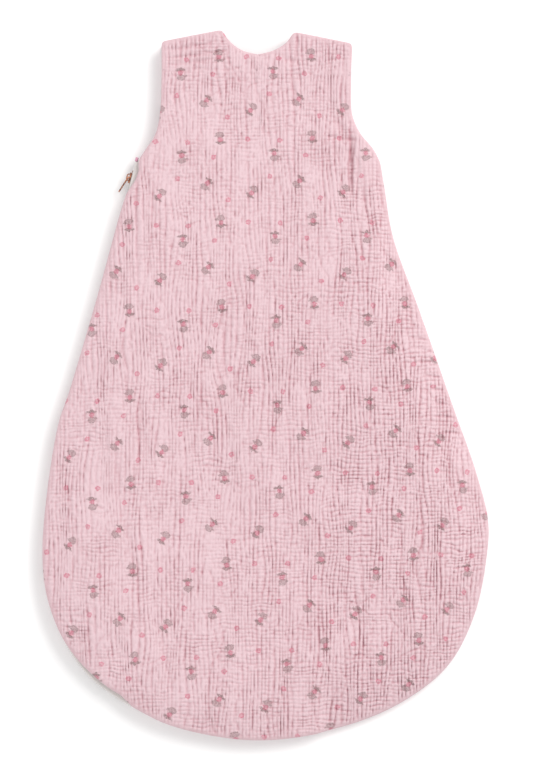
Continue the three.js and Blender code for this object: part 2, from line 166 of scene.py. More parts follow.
class Finish:
    """A material and the few ways in which its nodes are made."""

    def __init__(self, name):
        self.material = bpy.data.materials.new(name)
        self.material.use_nodes = True
        self.tree = self.material.node_tree
        self.shader = self.tree.nodes["Principled BSDF"]

    def node(self, kind, values=None, out=0, **settings):
        made = self.tree.nodes.new(kind)
        for key, value in settings.items():
            setattr(made, key, value)
        for key, value in (values or {}).items():
            self.feed(made.inputs[key], value)
        return Value(self, made.outputs[out])

    def feed(self, socket, value):
        if isinstance(value, Value):
            self.tree.links.new(value.socket, socket)
        else:
            socket.default_value = value

    def set(self, **values):
        for key, value in values.items():
            self.feed(self.shader.inputs[key.replace("_", " ")], value)

    def mix(self, share, a, b):
        return self.node("ShaderNodeMix", {0: share, 6: a, 7: b}, out=2, data_type="RGBA")

    def noise(self, place, scale, detail=2.0, rough=0.5):
        values = {"Vector": place, "Scale": scale, "Detail": detail, "Roughness": rough}
        return self.node("ShaderNodeTexNoise", values)

    def cloth_xy(self):
        """Where a point lies on the flat cloth, in millimetres."""
        return self.parts(self.node("ShaderNodeUVMap", uv_map="cloth"), 2)

    def object_xyz(self):
        """Where a point lies in the frame, in millimetres."""
        return self.parts(self.node("ShaderNodeTexCoord", out=3), 3)

    def parts(self, place, count):
        """The first numbers of a place in metres, in millimetres."""
        split = self.node("ShaderNodeSeparateXYZ", {0: place}).socket.node
        return [Value(self, split.outputs[i]) / MM for i in range(count)]

    def point(self, x, y, z=0.0):
        return self.node("ShaderNodeCombineXYZ", {0: x, 1: y, 2: z})

    def bump(self, height, strength, distance):
        values = {"Height": height, "Strength": strength, "Distance": distance}
        return self.node("ShaderNodeBump", values)


def waves(place, pitch):
    """Even waves along one direction, for threads and ribs that far apart."""
    return (place * (2 * math.pi / pitch)).sum("SINE")


def rgb(red, green, blue):
    """A colour as a screen shows it, 0 to 255, as the linear colour that a shader takes."""
    linear = [((c / 255 + 0.055) / 1.055) ** 2.4 for c in (red, green, blue)]
    return (*linear, 1.0)


print("finishes are ready to write")

# %% [markdown]
# ## The floor
#
# A pale floor that is wide enough to fill any view. It is staging, so it isn't part of the bag.

# %% Floor
FLOOR_DROP = 0.2 * MM  # just under the cloth that rests on it

bpy.ops.object.select_all(action="DESELECT")
bpy.ops.mesh.primitive_plane_add(size=8, location=(0, 0, -FLOOR_DROP))
floor = bpy.context.active_object
floor.name = "floor"
floor_finish = Finish("floor")
floor_finish.set(Base_Color=rgb(254, 254, 254), Roughness=0.9)
floor.data.materials.append(floor_finish.material)
print("floor:", floor.name)

# %% [markdown]
# ## The printed double gauze
#
# Double gauze is two loose cotton weaves tacked together in a grid, and in the wash it shrinks into small
# puffs between sunk lines. The puffs are real shape, so they are made in the mesh further on. The finish
# holds what is finer: the threads, the print, painted shade, a deeper and darker pink in the sunk lines,
# and a painted highlight on the tops of the puffs. The print repeats on a lattice of four sprigs and five
# spots, so each is written once and wrapped round the repeat.

# %% The print's layout, in millimetres
REPEAT_X = 90.4
REPEAT_Y = 84.6
PRINT_START = (-45.0, 328.5)
SPRIGS = [(0, 0, 0), (53, -18, 180), (31, -55.5, -42), (77, -46.5, 135)]  # place and turn
SPOTS = [(27, -1.5), (58.5, -3.5), (-6.5, -19), (48.5, -40), (7.5, -63)]
SPRIG_REACH = 9.5


def wrapped(x, y, place):
    """Where a point lies from the nearest copy of a motif."""
    near_x = (x - (PRINT_START[0] + place[0])).sum("WRAP", REPEAT_X / 2, -REPEAT_X / 2)
    near_y = (y - (PRINT_START[1] + place[1])).sum("WRAP", REPEAT_Y / 2, -REPEAT_Y / 2)
    return near_x, near_y


def oval(x, y, centre, radii):
    """A point's distance from an oval's middle, as a share of its radius."""
    across = (x - centre[0]) / radii[0]
    along = (y - centre[1]) / radii[1]
    return (across * across + along * along) ** 0.5


def within(distance, soft=0.14):
    return 1 - distance.between(1 - soft, 1 + soft)


def largest(a, b):
    return a.sum("MAXIMUM", b)


print("repeat, mm:", REPEAT_X, REPEAT_Y)


# %% The printed gauze
THREADS_ACROSS = 0.62
THREADS_ALONG = 0.66
WANDER = 0.42  # how fine the wandering of the printed edges is


def printed_gauze():
    """Pink double gauze with its print, painted shade and a painted highlight. The mesh's relief attribute
    says how high a point stands, and so where the shade and highlight are painted.
    """
    f = Finish("printed gauze")
    x, y = f.cloth_xy()
    relief = f.node("ShaderNodeAttribute", attribute_name="relief", out=2)
    place = f.point(x, y)
    # The cloth is printed flat and then crinkles, so that each motif's edge wanders.
    drift = f.noise(place, WANDER, 1.0)
    sway = f.noise(f.point(x + 300, y), WANDER, 1.0)
    px = x + (drift - 0.5) * 3.6
    py = y + (sway - 0.5) * 3.0
    local_x, local_y = 0.0, 0.0
    for sx, sy, turn in SPRIGS:
        near_x, near_y = wrapped(px, py, (sx, sy))
        here = 1 - (near_x * near_x + near_y * near_y).sum("GREATER_THAN", SPRIG_REACH**2)
        c, s = math.cos(math.radians(turn)), math.sin(math.radians(turn))
        local_x = local_x + here * (near_x * c + near_y * s + 100)
        local_y = local_y + here * (near_y * c - near_x * s)
    local_x = local_x - 100
    bud = oval(local_x, local_y, (0, 3.5), (4.1, 3.2))
    bud_ring = within(bud) * bud.between(0.4, 0.8) * 0.86
    bud_fill = within(bud) * 0.66
    side_leaf = within(oval(local_x, local_y, (-3.6, 2.2), (2.3, 1.1))) * 0.7
    heart = within(oval(local_x, local_y, (0.2, -1.4), (2.5, 2.5)), 0.2)
    base = within(oval(local_x, local_y, (0.5, -4.3), (5.0, 1.5)), 0.25)
    tip = within(oval(local_x, local_y, (0, -5.3), (1.5, 1.5)), 0.25)
    taupe = largest(largest(bud_ring, bud_fill), largest(side_leaf, largest(base, tip)))
    spot = 0.0
    for place_x, place_y in SPOTS:
        near_x, near_y = wrapped(px, py, (place_x, place_y))
        round_it = oval(near_x, near_y, (0, 0), (2.5, 2.5))
        spot = spot + within(round_it, 0.2) * (0.55 + round_it.between(0.2, 0.75) * 0.45)
    # Ink misses the loosest threads, and sits thinner in the sunk lines.
    take_up = (f.noise(place, 0.9, 2.0).between(0.3, 0.62) * 0.6 + 0.4) * (0.7 + relief * 0.35)
    patchy = f.noise(place, 0.021, 3.0)
    painted_crepe = f.noise(f.point(x, y * 0.5), 0.8, 2.0) - 0.5  # painted shade and highlight of the finest wrinkles, which run with the warp; they aren't in the mesh
    raised = relief + painted_crepe * 0.5
    sunk = 1 - raised.between(-0.1, 0.95)
    cloth = f.mix(patchy.between(0.3, 0.7), rgb(213, 182, 188), rgb(217, 187, 193))
    # Painted shade: the sunk lines, and the painted crepe, are painted a deeper, darker pink.
    cloth = f.mix(sunk * 0.73, cloth, rgb(184, 126, 136))
    # Painted highlight: the highest points are painted paler.
    cloth = f.mix(raised.between(0.75, 1.05) * 0.4, cloth, rgb(230, 204, 210))
    cloth = f.mix(taupe * take_up * 0.86, cloth, rgb(130, 104, 104))
    cloth = f.mix(heart * take_up * 0.74, cloth, rgb(190, 92, 116))
    cloth = f.mix(spot * take_up * 0.74, cloth, rgb(198, 92, 118))
    threads = waves(x, THREADS_ACROSS) + waves(y, THREADS_ALONG)
    fuzz = f.noise(place, 2.6, 3.0, 0.6)
    weave = threads * 0.16 + fuzz
    f.set(
        Base_Color=cloth,
        Roughness=0.9 - fuzz * 0.08,
        Normal=f.bump(weave, 0.35, 0.25 * MM),
        Sheen_Weight=0.12,
        Sheen_Roughness=0.6,
        Specular_IOR_Level=0.25,
    )
    return f.material


gauze = printed_gauze()
print("nodes in the gauze:", len(gauze.node_tree.nodes))

# %% [markdown]
# ## Lining, tape, metal, studs and label
#
# The lining is a plain fine weave in a paler pink. The zip tape is a narrow ribbed weave, its teeth are
# moulded plastic, and its slider is plated in a warm copper with fine rubbing marks. The press studs are
# dyed acetal, and the label is a white satin ribbon, which shows long floats along its length.


# %% Lining
LINING_THREADS = 0.5


def smooth_cotton(name, colour, shade):
    """A plain fine weave, clouded softly between two tones."""
    f = Finish(name)
    x, y, z = f.object_xyz()
    place = f.point(x, y, z)
    threads = waves(x, LINING_THREADS) * waves(y, LINING_THREADS)
    fuzz = f.noise(place, 2.2, 3.0)
    cloud = f.noise(place, 0.03, 3.0)
    tone = f.mix(cloud.between(0.3, 0.7), colour, shade)
    tone = f.mix(threads.between(-0.2, 1.0) * 0.25, tone, shade)
    f.set(
        Base_Color=tone,
        Roughness=0.88 - fuzz * 0.1,
        Normal=f.bump(threads * 0.5 + fuzz, 0.3, 0.15 * MM),
        Sheen_Weight=0.08,
        Specular_IOR_Level=0.25,
    )
    return f.material


lining_finish = smooth_cotton("lining", rgb(243, 222, 224), rgb(236, 208, 212))
tab_finish = smooth_cotton("zip end cloth", rgb(219, 166, 186), rgb(203, 148, 170))
print("linings:", lining_finish.name, tab_finish.name)


# %% Zip tape, teeth and metal
TAPE_RIBS = 0.8
TAPE_LINES = 1.1


def zip_tape_finish():
    """A narrow weave with ribs across it and faint lines along it."""
    f = Finish("zip tape")
    x, y = f.cloth_xy()  # x runs along the tape here, and y across it
    ribs = waves(x, TAPE_RIBS)
    lines = waves(y, TAPE_LINES)
    tone = f.mix(ribs.between(-1.0, 1.0), rgb(204, 197, 194), rgb(243, 239, 236))
    tone = f.mix(lines.between(0.5, 1.0) * 0.3, tone, rgb(212, 206, 203))
    f.set(
        Base_Color=tone,
        Roughness=0.82 + lines * 0.03,
        Normal=f.bump(ribs * 0.7 + lines * 0.3, 0.5, 0.2 * MM),
        Specular_IOR_Level=0.3,
    )
    return f.material


def moulded(name, colour, shade, roughness):
    """Moulded plastic, with faint flow marks and a fine grain."""
    f = Finish(name)
    x, y, z = f.object_xyz()
    place = f.point(x, y, z)
    flow = f.noise(place, 0.5, 2.0)
    grain = f.noise(place, 9.0, 2.0)
    f.set(
        Base_Color=f.mix(flow.between(0.3, 0.7), colour, shade),
        Roughness=roughness + grain * 0.12,
        Normal=f.bump(grain, 0.12, 0.05 * MM),
        Coat_Weight=0.15,
    )
    return f.material


def plated_metal():
    """Warm plating with random dark brown patches of painted reflection, and scratches along the zip."""
    f = Finish("copper plating")
    x, y, z = f.object_xyz()
    scratches = f.noise(f.point(x * 0.6, y * 4.0, z * 0.6), 3.0, 4.0, 0.6)
    # Painted reflection: random dark brown patches, mixed into the copper colour, stand in for what polished
    # copper reflects.
    painted_reflection = f.noise(f.point(x, y, z), 0.5, 3.0)
    tone = f.mix(painted_reflection.between(0.38, 0.6), rgb(198, 138, 110), rgb(112, 68, 54))
    f.set(
        Base_Color=tone,
        Metallic=1.0,
        Roughness=0.2 + painted_reflection * 0.15 + scratches * 0.1,
        Normal=f.bump(scratches, 0.12, 0.05 * MM),
    )
    return f.material


tape_finish = zip_tape_finish()
teeth_finish = moulded("zip teeth", rgb(226, 221, 217), rgb(211, 205, 201), 0.34)
stud_finish = moulded("press stud acetal", rgb(222, 163, 178), rgb(211, 148, 165), 0.3)
copper = plated_metal()
print("hard finishes:", [m.name for m in (tape_finish, teeth_finish, stud_finish, copper)])


# %% Label ribbon
SATIN_FLOATS = 0.35


def satin_ribbon():
    """White satin, with long floats along the ribbon."""
    f = Finish("label satin")
    x, y = f.cloth_xy()
    floats = waves(y, SATIN_FLOATS)
    slubs = f.noise(f.point(x * 0.3, y * 3.0), 2.0, 3.0)
    tone = f.mix(slubs.between(0.3, 0.75), rgb(250, 249, 246), rgb(236, 234, 229))
    f.set(
        Base_Color=tone,
        Roughness=0.38 + slubs * 0.18,
        Normal=f.bump(floats * 0.4 + slubs, 0.3, 0.1 * MM),
        Sheen_Weight=0.2,
    )
    return f.material


satin = satin_ribbon()
print("label finish:", satin.name)

# %% [markdown]
# ## The cut of the panels
#
# Both panels are cut to one pear shape and differ only at the neck: shallow at the back, a deep scoop in
# front. A few points with a smooth line through them give the curve, as a pattern cutter would draw it.
# Lengths are in millimetres until a mesh is made.

# %% Outlines
LEFT_TIP = (-43.5, 350)
LEFT_SHOULDER = (-103, 338.5)
LEFT_UNDERARM = (-126, 221)
RIGHT_TIP = (27.5, 348)
RIGHT_SHOULDER = (85, 336.5)
RIGHT_UNDERARM = (112.5, 219.5)
NECK_BOTTOM = (-8, 325.5)
EDGE_STEP = 1.1


def lerp(a, b, share):
    """From a to b as the share goes from 0 to 1."""
    return a + (b - a) * share


def step(value, low, high):
    """0 below low, 1 above high, and a smooth step between them."""
    share = np.clip((value - low) / (high - low), 0, 1)
    return share * share * (3 - 2 * share)


def length_along(line):
    """How far along a line each of its points lies."""
    return np.concatenate([[0], np.cumsum(np.linalg.norm(np.diff(line, axis=0), axis=1))])


def unit(vectors):
    """The same directions, each of length 1."""
    return vectors / np.linalg.norm(vectors, axis=1)[:, None]


def left_of(ahead):
    """The directions a quarter turn to the left."""
    return np.stack([-ahead[:, 1], ahead[:, 0]], axis=1)


def evenly(line, spacing):
    """The same line with even steps."""
    along = length_along(line)
    at = np.linspace(0, along[-1], max(2, round(along[-1] / spacing) + 1))
    return np.stack([np.interp(at, along, line[:, k]) for k in range(line.shape[1])], axis=1)


def run(points, spacing=EDGE_STEP):
    """A smooth line through a few points."""
    p = np.array(points, float)
    p = np.vstack([2 * p[0] - p[1], p, 2 * p[-1] - p[-2]])
    pieces = []
    for a, b, c, d in zip(p, p[1:], p[2:], p[3:]):
        knots = np.cumsum([0, *(np.linalg.norm(v - u) ** 0.5 for u, v in ((a, b), (b, c), (c, d)))])
        t = np.linspace(knots[1], knots[2], 33)[:-1, None]

        def blend_of(u, v, i, j):
            span = knots[j] - knots[i]
            return (knots[j] - t) / span * u + (t - knots[i]) / span * v

        ab, bc, cd = blend_of(a, b, 0, 1), blend_of(b, c, 1, 2), blend_of(c, d, 2, 3)
        abc, bcd = blend_of(ab, bc, 0, 2), blend_of(bc, cd, 1, 3)
        pieces.append(blend_of(abc, bcd, 1, 2))
    return evenly(np.vstack([*pieces, p[-2:-1]]), spacing)


right_armhole = run([RIGHT_SHOULDER, (83.8, 300), (85, 266), (93, 247.5), (105, 233), RIGHT_UNDERARM])
left_armhole = run([LEFT_UNDERARM, (-118.5, 232), (-109, 247), (-104.5, 267), (-103, 300), LEFT_SHOULDER])
skirt = run(
    [
        RIGHT_UNDERARM, (117, 194), (125.5, 146), (151, 75), (185, -22), (207.5, -86), (219.5, -135),
        (218, -170), (206, -227), (180, -277), (135, -313), (74, -338), (-10, -350), (-92, -336),
        (-132, -317), (-161, -300), (-187, -272), (-205, -240), (-216.5, -205), (-220.2, -170),
        (-217.5, -122), (-204.6, -38.5), (-194, -7), (-166, 88), (-139.8, 182), (-131, 205), LEFT_UNDERARM,
    ]
)
left_back_neck = run([LEFT_TIP, (-36, 339), (-24, 330), NECK_BOTTOM])
right_back_neck = run([NECK_BOTTOM, (8, 330), (20, 337.5), RIGHT_TIP])
front_neck = run([LEFT_TIP, (-40, 322), (-27, 299), (-8, 290), (11, 299), (24, 322), RIGHT_TIP])
print("points round the skirt:", len(skirt))


# %% Where the zip shows past the panels
AT_LOWER_LEFT = 5.4
AT_UNDERARM = 3.4


def zip_shows(line):
    """How far the panels are drawn back from the zip: a little at the underarm, most at the lower left."""
    x, y = line.T
    turn = np.degrees(np.arctan2(-(y + 170), -x))  # 0 points left, 90 points down
    lower_left = AT_LOWER_LEFT * step(turn, 18, 42) * (1 - step(turn, 43, 49)) * (x < 0)
    underarm = AT_UNDERARM * step(y, 186, 206) * (1 - step(y, 212, 222)) * (x < 0)
    return lower_left + underarm


def drawn_back(line):
    """The same line with the panels' edges drawn back. It runs clockwise, so its inside is on the right."""
    return line - left_of(unit(np.gradient(line, axis=0))) * zip_shows(line)[:, None]


panel_skirt = drawn_back(skirt)
print("most drawn back, mm:", round(float(zip_shows(skirt).max()), 1))


# %% Closed outlines, and the cut between the back panel and each strap
def twice_area(outline):
    """Twice the area inside an outline, below 0 where it runs clockwise."""
    x, y = outline.T
    return (x * np.roll(y, -1) - y * np.roll(x, -1)).sum()


def closed(*lines):
    """One outline from lines that meet end to end, anticlockwise, with no point twice."""
    joined = np.vstack([line[:-1] for line in lines])
    return joined[::-1] if twice_area(joined) < 0 else joined


def straight(a, b, spacing=EDGE_STEP):
    """A straight line in even steps."""
    return evenly(np.array([a, b], float), spacing)


def split_at(line, height):
    """A line that runs from low to high, in two at the point nearest a height."""
    i = int(np.abs(line[:, 1] - height).argmin())
    return line[: i + 1], line[i:]


def rounded(*lines, passes=12):
    """A closed run of lines with the corners between them rounded, still in its separate lines."""
    joined = np.vstack([line[:-1] for line in lines])
    starts = np.cumsum([0, *(len(line) - 1 for line in lines)])
    far = np.array([np.linalg.norm(joined[starts[:-1]] - p, axis=1).min() for p in joined])
    share = 1 - step(far, 5, 9)[:, None]
    for _ in range(passes):
        middle = (np.roll(joined, 1, axis=0) + 2 * joined + np.roll(joined, -1, axis=0)) / 4
        joined = lerp(joined, middle, share)
    joined = np.vstack([joined, joined[:1]])
    return [joined[a : b + 1] for a, b in zip(starts, starts[1:])]


left_edge = straight(LEFT_SHOULDER, LEFT_TIP)
right_edge = straight(RIGHT_TIP, RIGHT_SHOULDER)
front_outline = closed(
    *rounded(right_armhole, panel_skirt, left_armhole, left_edge, front_neck, right_edge)
)
front_edges = [np.vstack([front_outline, front_outline[:1]])]
back_edges = rounded(
    right_armhole, panel_skirt, left_armhole, left_edge, left_back_neck, right_back_neck, right_edge
)
right_armhole, panel_skirt, left_armhole, left_edge, left_back_neck, right_back_neck, right_edge = back_edges

STRAP_CUT = 309  # height where each strap's cut leaves the armhole
left_lower, left_upper = split_at(left_armhole, STRAP_CUT)
right_lower, right_upper = split_at(right_armhole[::-1], STRAP_CUT - 2)
CUTS_MEET = (NECK_BOTTOM[0], STRAP_CUT)
left_cut = straight(left_lower[-1], CUTS_MEET)
right_cut = straight(CUTS_MEET, right_lower[-1])
neck_cut = straight(CUTS_MEET, NECK_BOTTOM)

back_outline = closed(right_lower[::-1], panel_skirt, left_lower, left_cut, right_cut)
left_strap_outline = closed(left_upper, left_edge, left_back_neck, neck_cut[::-1], left_cut[::-1])
right_strap_outline = closed(right_back_neck, right_edge, right_upper[::-1], right_cut[::-1], neck_cut)
for outline in (back_outline, left_strap_outline, right_strap_outline, front_outline):
    print("outline points:", len(outline))

# %% [markdown]
# ## The crinkle
#
# No two creases of washed double gauze are alike, but they follow rules: a grid of tacked lines, long
# creases that run with the warp, and short ones across. Smooth random fields give all three. Where such a
# field passes through zero it leaves thin lines that wander and never end abruptly, as a crease does. The
# fields live on a map with a value for about each millimetre, so that every panel reads its height from
# the same cloth. The random draws start from a fixed seed, so each run gives the same creases.

# %% Random fields on a map
MAP_STEP = 0.9
MAP_X = np.arange(-240.3, 240.8, MAP_STEP)
MAP_Y = np.arange(-370.8, 371.3, MAP_STEP)
map_x, map_y = np.meshgrid(MAP_X, MAP_Y)
SEED = 11
draws = np.random.default_rng(SEED)


def smoothed(values, across, along):
    """A map with all detail finer than that width and length in millimetres taken out."""
    fx = np.fft.rfftfreq(map_x.shape[1], MAP_STEP)[None, :]
    fy = np.fft.fftfreq(map_x.shape[0], MAP_STEP)[:, None]
    kept = np.exp(-2 * np.pi**2 * ((fx * across) ** 2 + (fy * along) ** 2))
    return np.fft.irfft2(np.fft.rfft2(values) * kept, s=map_x.shape)


def field(across, along):
    """Smooth random values, mostly from -1.5 to 1.5, with soft spots of that width and length."""
    soft = smoothed(draws.standard_normal(map_x.shape), across, along)
    return soft / soft.std()


def read(values, x, y):
    """A map's value at any place, from the four nearest."""
    u = np.clip((x - MAP_X[0]) / MAP_STEP, 0, len(MAP_X) - 1.001)
    v = np.clip((y - MAP_Y[0]) / MAP_STEP, 0, len(MAP_Y) - 1.001)
    i, j = u.astype(int), v.astype(int)
    fu, fv = u - i, v - j
    low = values[j, i] * (1 - fu) + values[j, i + 1] * fu
    high = values[j + 1, i] * (1 - fu) + values[j + 1, i + 1] * fu
    return low * (1 - fv) + high * fv


def creases(values, width):
    """Thin lines of that width in millimetres where a field passes through zero, 1 along the line."""
    slope = np.hypot(*np.gradient(values, MAP_STEP))
    usual = np.sqrt((slope**2).mean())
    there = step(slope, 0.25 * usual, 0.9 * usual)
    return there * np.exp(-((values / np.maximum(slope, 0.1 * usual) / width) ** 2))


print("map:", map_x.shape)

# %% The crinkle's height
COLUMN = 3.9
ROW = 4.0
LINE_WIDTH = 1.2  # of the long creases
fan = 1 + 0.22 * (250 - map_y) / 600  # the warp creases spread towards the hem
spread_x = (map_x + 10) / fan - 10
sway_x = 1.7 * field(5.5, 24) + 0.5 * field(2.6, 12)
sway_y = 1.0 * field(10, 5) + 0.5 * field(3, 3)
columns = np.abs(np.sin(np.pi * (map_x + sway_x) / COLUMN)) ** 0.45
rows = np.abs(np.sin(np.pi * (map_y + sway_y) / ROW)) ** 0.5
squarer = step(map_x - 0.4 * map_y, -60, 160)  # the lower right keeps its grid, the rest is more drawn
column_depth = np.clip(0.52 + 0.08 * squarer + 0.15 * field(3.6, 20), 0.14, 1)
row_depth = np.clip(0.21 + 0.16 * squarer + 0.11 * field(6, 5), 0.03, 1)
puffs = (1 - column_depth * (1 - columns)) * (1 - row_depth * (1 - rows))
long_lines = creases(read(field(3.4, 17), spread_x, map_y), LINE_WIDTH)
long_creases = long_lines * np.clip(0.4 + 0.5 * field(8, 20), 0, 1)
deep_lines = creases(read(field(6.0, 34), spread_x, map_y), LINE_WIDTH)
deep_creases = deep_lines * np.clip(0.5 + 0.5 * field(10, 30), 0, 1)
short_creases = creases(field(4.6, 3.2), 0.95) * np.clip(0.2 + 0.4 * field(10, 10), 0, 1)
fluff = field(0.7, 1.5)
crinkle = puffs - 0.24 * long_creases - 0.22 * deep_creases - 0.2 * short_creases + 0.07 * fluff
crispness = 0.62 + 0.4 * step(map_x, 30, 110)  # the right half was washed into the sharpest creases
crinkle = crinkle + crispness * (crinkle - smoothed(crinkle, 1.5, 1.5))
crinkle = np.clip((crinkle + 0.02) / 1.02, -0.25, 1.2)
# Beside the right underarm the cloth is pushed up into a smooth puff.
in_puff = 1 - step(np.hypot((map_x - 97) / 12, (map_y - 214) / 28), 0.4, 1.1)
crinkle = lerp(crinkle, 0.85, 0.65 * in_puff)
print("crinkle, 5% and 95%:", np.round(np.percentile(crinkle, [5, 95]), 2))

# %% [markdown]
# ## Folds and swells
#
# Under the crinkle the wadding swells and sinks by a millimetre or two, and a few folds lie where the
# arms and straps pull on the cloth. Each fold is a short line with a width and a depth, and it fades out
# at both ends.

# %% Folds
FOLDS = [  # from, to, half width, depth (below 0 rises)
    ((85, 246), (83, 186), 2.4, 4.4),
    ((95, 236), (101, 186), 7.0, -2.2),
    ((68, 262), (84, 240), 3.5, 1.8),
    ((60, 245), (90, 241), 2.0, 2.0),
    ((17, 323), (33, 316), 3.0, 1.6),
    ((26, 312), (34, 300), 3.5, 1.2),
    ((-96, 330), (-50, 338), 1.5, 1.5),
    ((-98, 322), (-36, 331), 1.6, 1.7),
    ((-98, 316), (-46, 322), 1.7, 1.4),
    ((-92, 308), (-60, 312), 2.0, 0.9),
    ((-118, 205), (-104, 150), 5.0, 1.2),
    ((-95, 225), (-60, 232), 5.0, 1.0),
    ((-30, 120), (-44, -30), 5.0, 0.9),
    ((60, 60), (74, -90), 6.0, 0.9),
    ((-150, -60), (-124, -200), 5.0, 1.1),
    ((-112, -205), (-88, -312), 4.0, 1.1),
    ((-40, -230), (-48, -330), 4.5, 1.0),
    ((20, -240), (26, -335), 4.5, 0.9),
    ((90, -215), (106, -312), 4.5, 0.9),
    ((168, -20), (190, -120), 5.0, 1.0),
    ((130, 130), (150, 40), 5.0, 0.9),
]
SEAM_PUCKERS = [(162, 44), (166, 33), (170, 21), (175, 7), (179, -6), (184, -20), (189, -33), (195, -49)]
FOLDS += [((x, y), (x - 20, y + 3), 1.4, 1.6) for x, y in SEAM_PUCKERS]


def fold(start, end, half_width, depth):
    """How far one fold lowers the map."""
    ax, ay = start
    dx, dy = end[0] - ax, end[1] - ay
    length = math.hypot(dx, dy)
    along = ((map_x - ax) * dx + (map_y - ay) * dy) / length
    bow = 0.06 * along * (length - along) / length
    across = ((map_x - ax) * dy - (map_y - ay) * dx) / length - bow
    fade = step(along, -0.15 * length, 0.3 * length) * (1 - step(along, 0.7 * length, 1.15 * length))
    return depth * fade * np.exp(-((across / half_width) ** 2))


folds = sum(fold(*one) for one in FOLDS)
swells = 0.55 * field(14, 20) + 0.6 * field(34, 46)
print("deepest fold, mm:", round(float(folds.max()), 1))
print("swells, mm:", np.round(np.percentile(swells, [1, 99]), 1))

# %% [markdown]
# ## How high each ply lies
#
# The front panel is flat on the floor. The back panel stands above the open zip at its edge, swells by 9
# mm towards its middle, and comes down to the seam on the other side. These levels are the frame's own.

# %% Levels
FRONT_TOP = 7.0
BACK_EDGE = 16.3
SEAM_EDGE = 7.3
BODY_RISE = 25.0
RISE_WIDTH = 70.0
FOLD_X = 106
FOLD_X_AT_FOOT = 48
SEAM_SLOPE = 16  # how wide the way down to the seam is
LINING_THICK = 1.2
PLY_GAP = 0.3
BODY_WADDING = 4.0
SHOULDER_WADDING = 1.5
ON_CUT = 0.3  # a point this near to a cut lies on it


def nearest(lines):
    """A search for the distance to the nearest of some lines."""
    points = np.vstack([evenly(line, 0.4) for line in lines])
    tree = KDTree(len(points))
    for i, (x, y) in enumerate(points):
        tree.insert((x, y, 0), i)
    tree.balance()
    return lambda x, y: np.array([tree.find((a, b, 0))[2] for a, b in zip(x, y)])


to_skirt = nearest([skirt])
to_back_edge = nearest(back_edges)
to_front_edge = nearest(front_edges)
to_cuts = nearest([left_cut, right_cut, neck_cut])


def underside(x, y):
    """Height of the back panel's underside."""
    seam_start = lerp(FOLD_X, FOLD_X_AT_FOOT, step(-y, 150, 300))
    seam_side = step(x, seam_start, seam_start + SEAM_SLOPE) * (1 - step(y, 200, 235))
    edge = lerp(BACK_EDGE, SEAM_EDGE, seam_side)
    plateau = lerp(BODY_RISE, BACK_EDGE, step(y, 90, 285))
    share = 1 - (1 - np.minimum(1, to_skirt(x, y) / RISE_WIDTH)) ** 2
    return lerp(edge, plateau, share)


def wadding(y):
    """How thick the wadding is: full over the body, thin at the shoulders."""
    return lerp(BODY_WADDING, SHOULDER_WADDING, step(y, 230, 300))


print("searches ready")

# %% [markdown]
# ## From an outline to a padded panel
#
# A panel is two sheets that meet at its edge. Each sheet is an even grid, cut off just inside the
# outline, and a strip of triangles joins it to rings that follow the outline exactly. So the cloth has an
# even mesh to take its crinkle, and its edge is still a clean line.


# %% A grid inside an outline
def grid_inside(outline, cell, margin):
    """The lattice inside an outline, and which of its quads lie at least margin from it."""
    xs = np.arange(MAP_X[0], MAP_X[-1] + 1, cell)
    ys = np.arange(MAP_Y[0], MAP_Y[-1] + 1, cell)
    ax, ay = outline.T
    bx, by = np.roll(outline, -1, axis=0).T
    inside = np.zeros((len(ys), len(xs)), bool)
    for j, y in enumerate(ys + 1e-5):
        cut = (ay <= y) != (by <= y)
        crossings = np.sort(ax[cut] + (y - ay[cut]) / (by[cut] - ay[cut]) * (bx[cut] - ax[cut]))
        inside[j] = np.searchsorted(crossings, xs) % 2 == 1
    distance = nearest([np.vstack([outline, outline[:1]])])
    rows_in, columns_in = np.nonzero(inside)
    clear = distance(xs[columns_in], ys[rows_in]) >= margin
    inside[rows_in[~clear], columns_in[~clear]] = False
    quads = inside[:-1, :-1] & inside[:-1, 1:] & inside[1:, :-1] & inside[1:, 1:]
    return xs, ys, whole(quads)


def whole(quads):
    """The largest run of quads, with no two that touch only at a corner."""
    while True:
        q = np.pad(quads, 1)
        a, b, c, d = q[:-1, :-1], q[:-1, 1:], q[1:, :-1], q[1:, 1:]
        pinch_up = a & d & ~b & ~c
        pinch_down = b & c & ~a & ~d
        if not (pinch_up.any() or pinch_down.any()):
            break
        quads = quads & ~pinch_up[:-1, :-1] & ~pinch_down[:-1, 1:]
    left = quads.copy()
    best = np.zeros_like(quads)
    while left.any():
        found = np.zeros_like(quads)
        found.flat[left.argmax()] = True
        while True:
            grown = found.copy()
            grown[1:] |= found[:-1]
            grown[:-1] |= found[1:]
            grown[:, 1:] |= found[:, :-1]
            grown[:, :-1] |= found[:, 1:]
            grown &= left
            if (grown == found).all():
                break
            found = grown
        if found.sum() > best.sum():
            best = found
        left &= ~found
    return best


print("grid maker ready")


# %% The loop round a grid, and the strip that joins two loops
def loop_round(quads):
    """The grid's outermost corners in order, anticlockwise, as indices into its lattice."""
    q = np.pad(quads, 1)
    wide = quads.shape[1] + 1
    after = {}
    sides = (
        (q[:-2, 1:-1], (0, 0), (0, 1)),
        (q[1:-1, 2:], (0, 1), (1, 1)),
        (q[2:, 1:-1], (1, 1), (1, 0)),
        (q[1:-1, :-2], (1, 0), (0, 0)),
    )
    for neighbour, start, end in sides:
        j, i = np.nonzero(quads & ~neighbour)
        starts = (j + start[0]) * wide + i + start[1]
        ends = (j + end[0]) * wide + i + end[1]
        after.update(zip(starts.tolist(), ends.tolist()))
    loop = [next(iter(after))]
    while after[loop[-1]] != loop[0]:
        loop.append(after[loop[-1]])
    return np.array(loop)


def quads_between(a, b):
    """Quads from one closed loop of points to the next, which has as many."""
    return np.stack([a, np.roll(a, -1), np.roll(b, -1), b], axis=1)


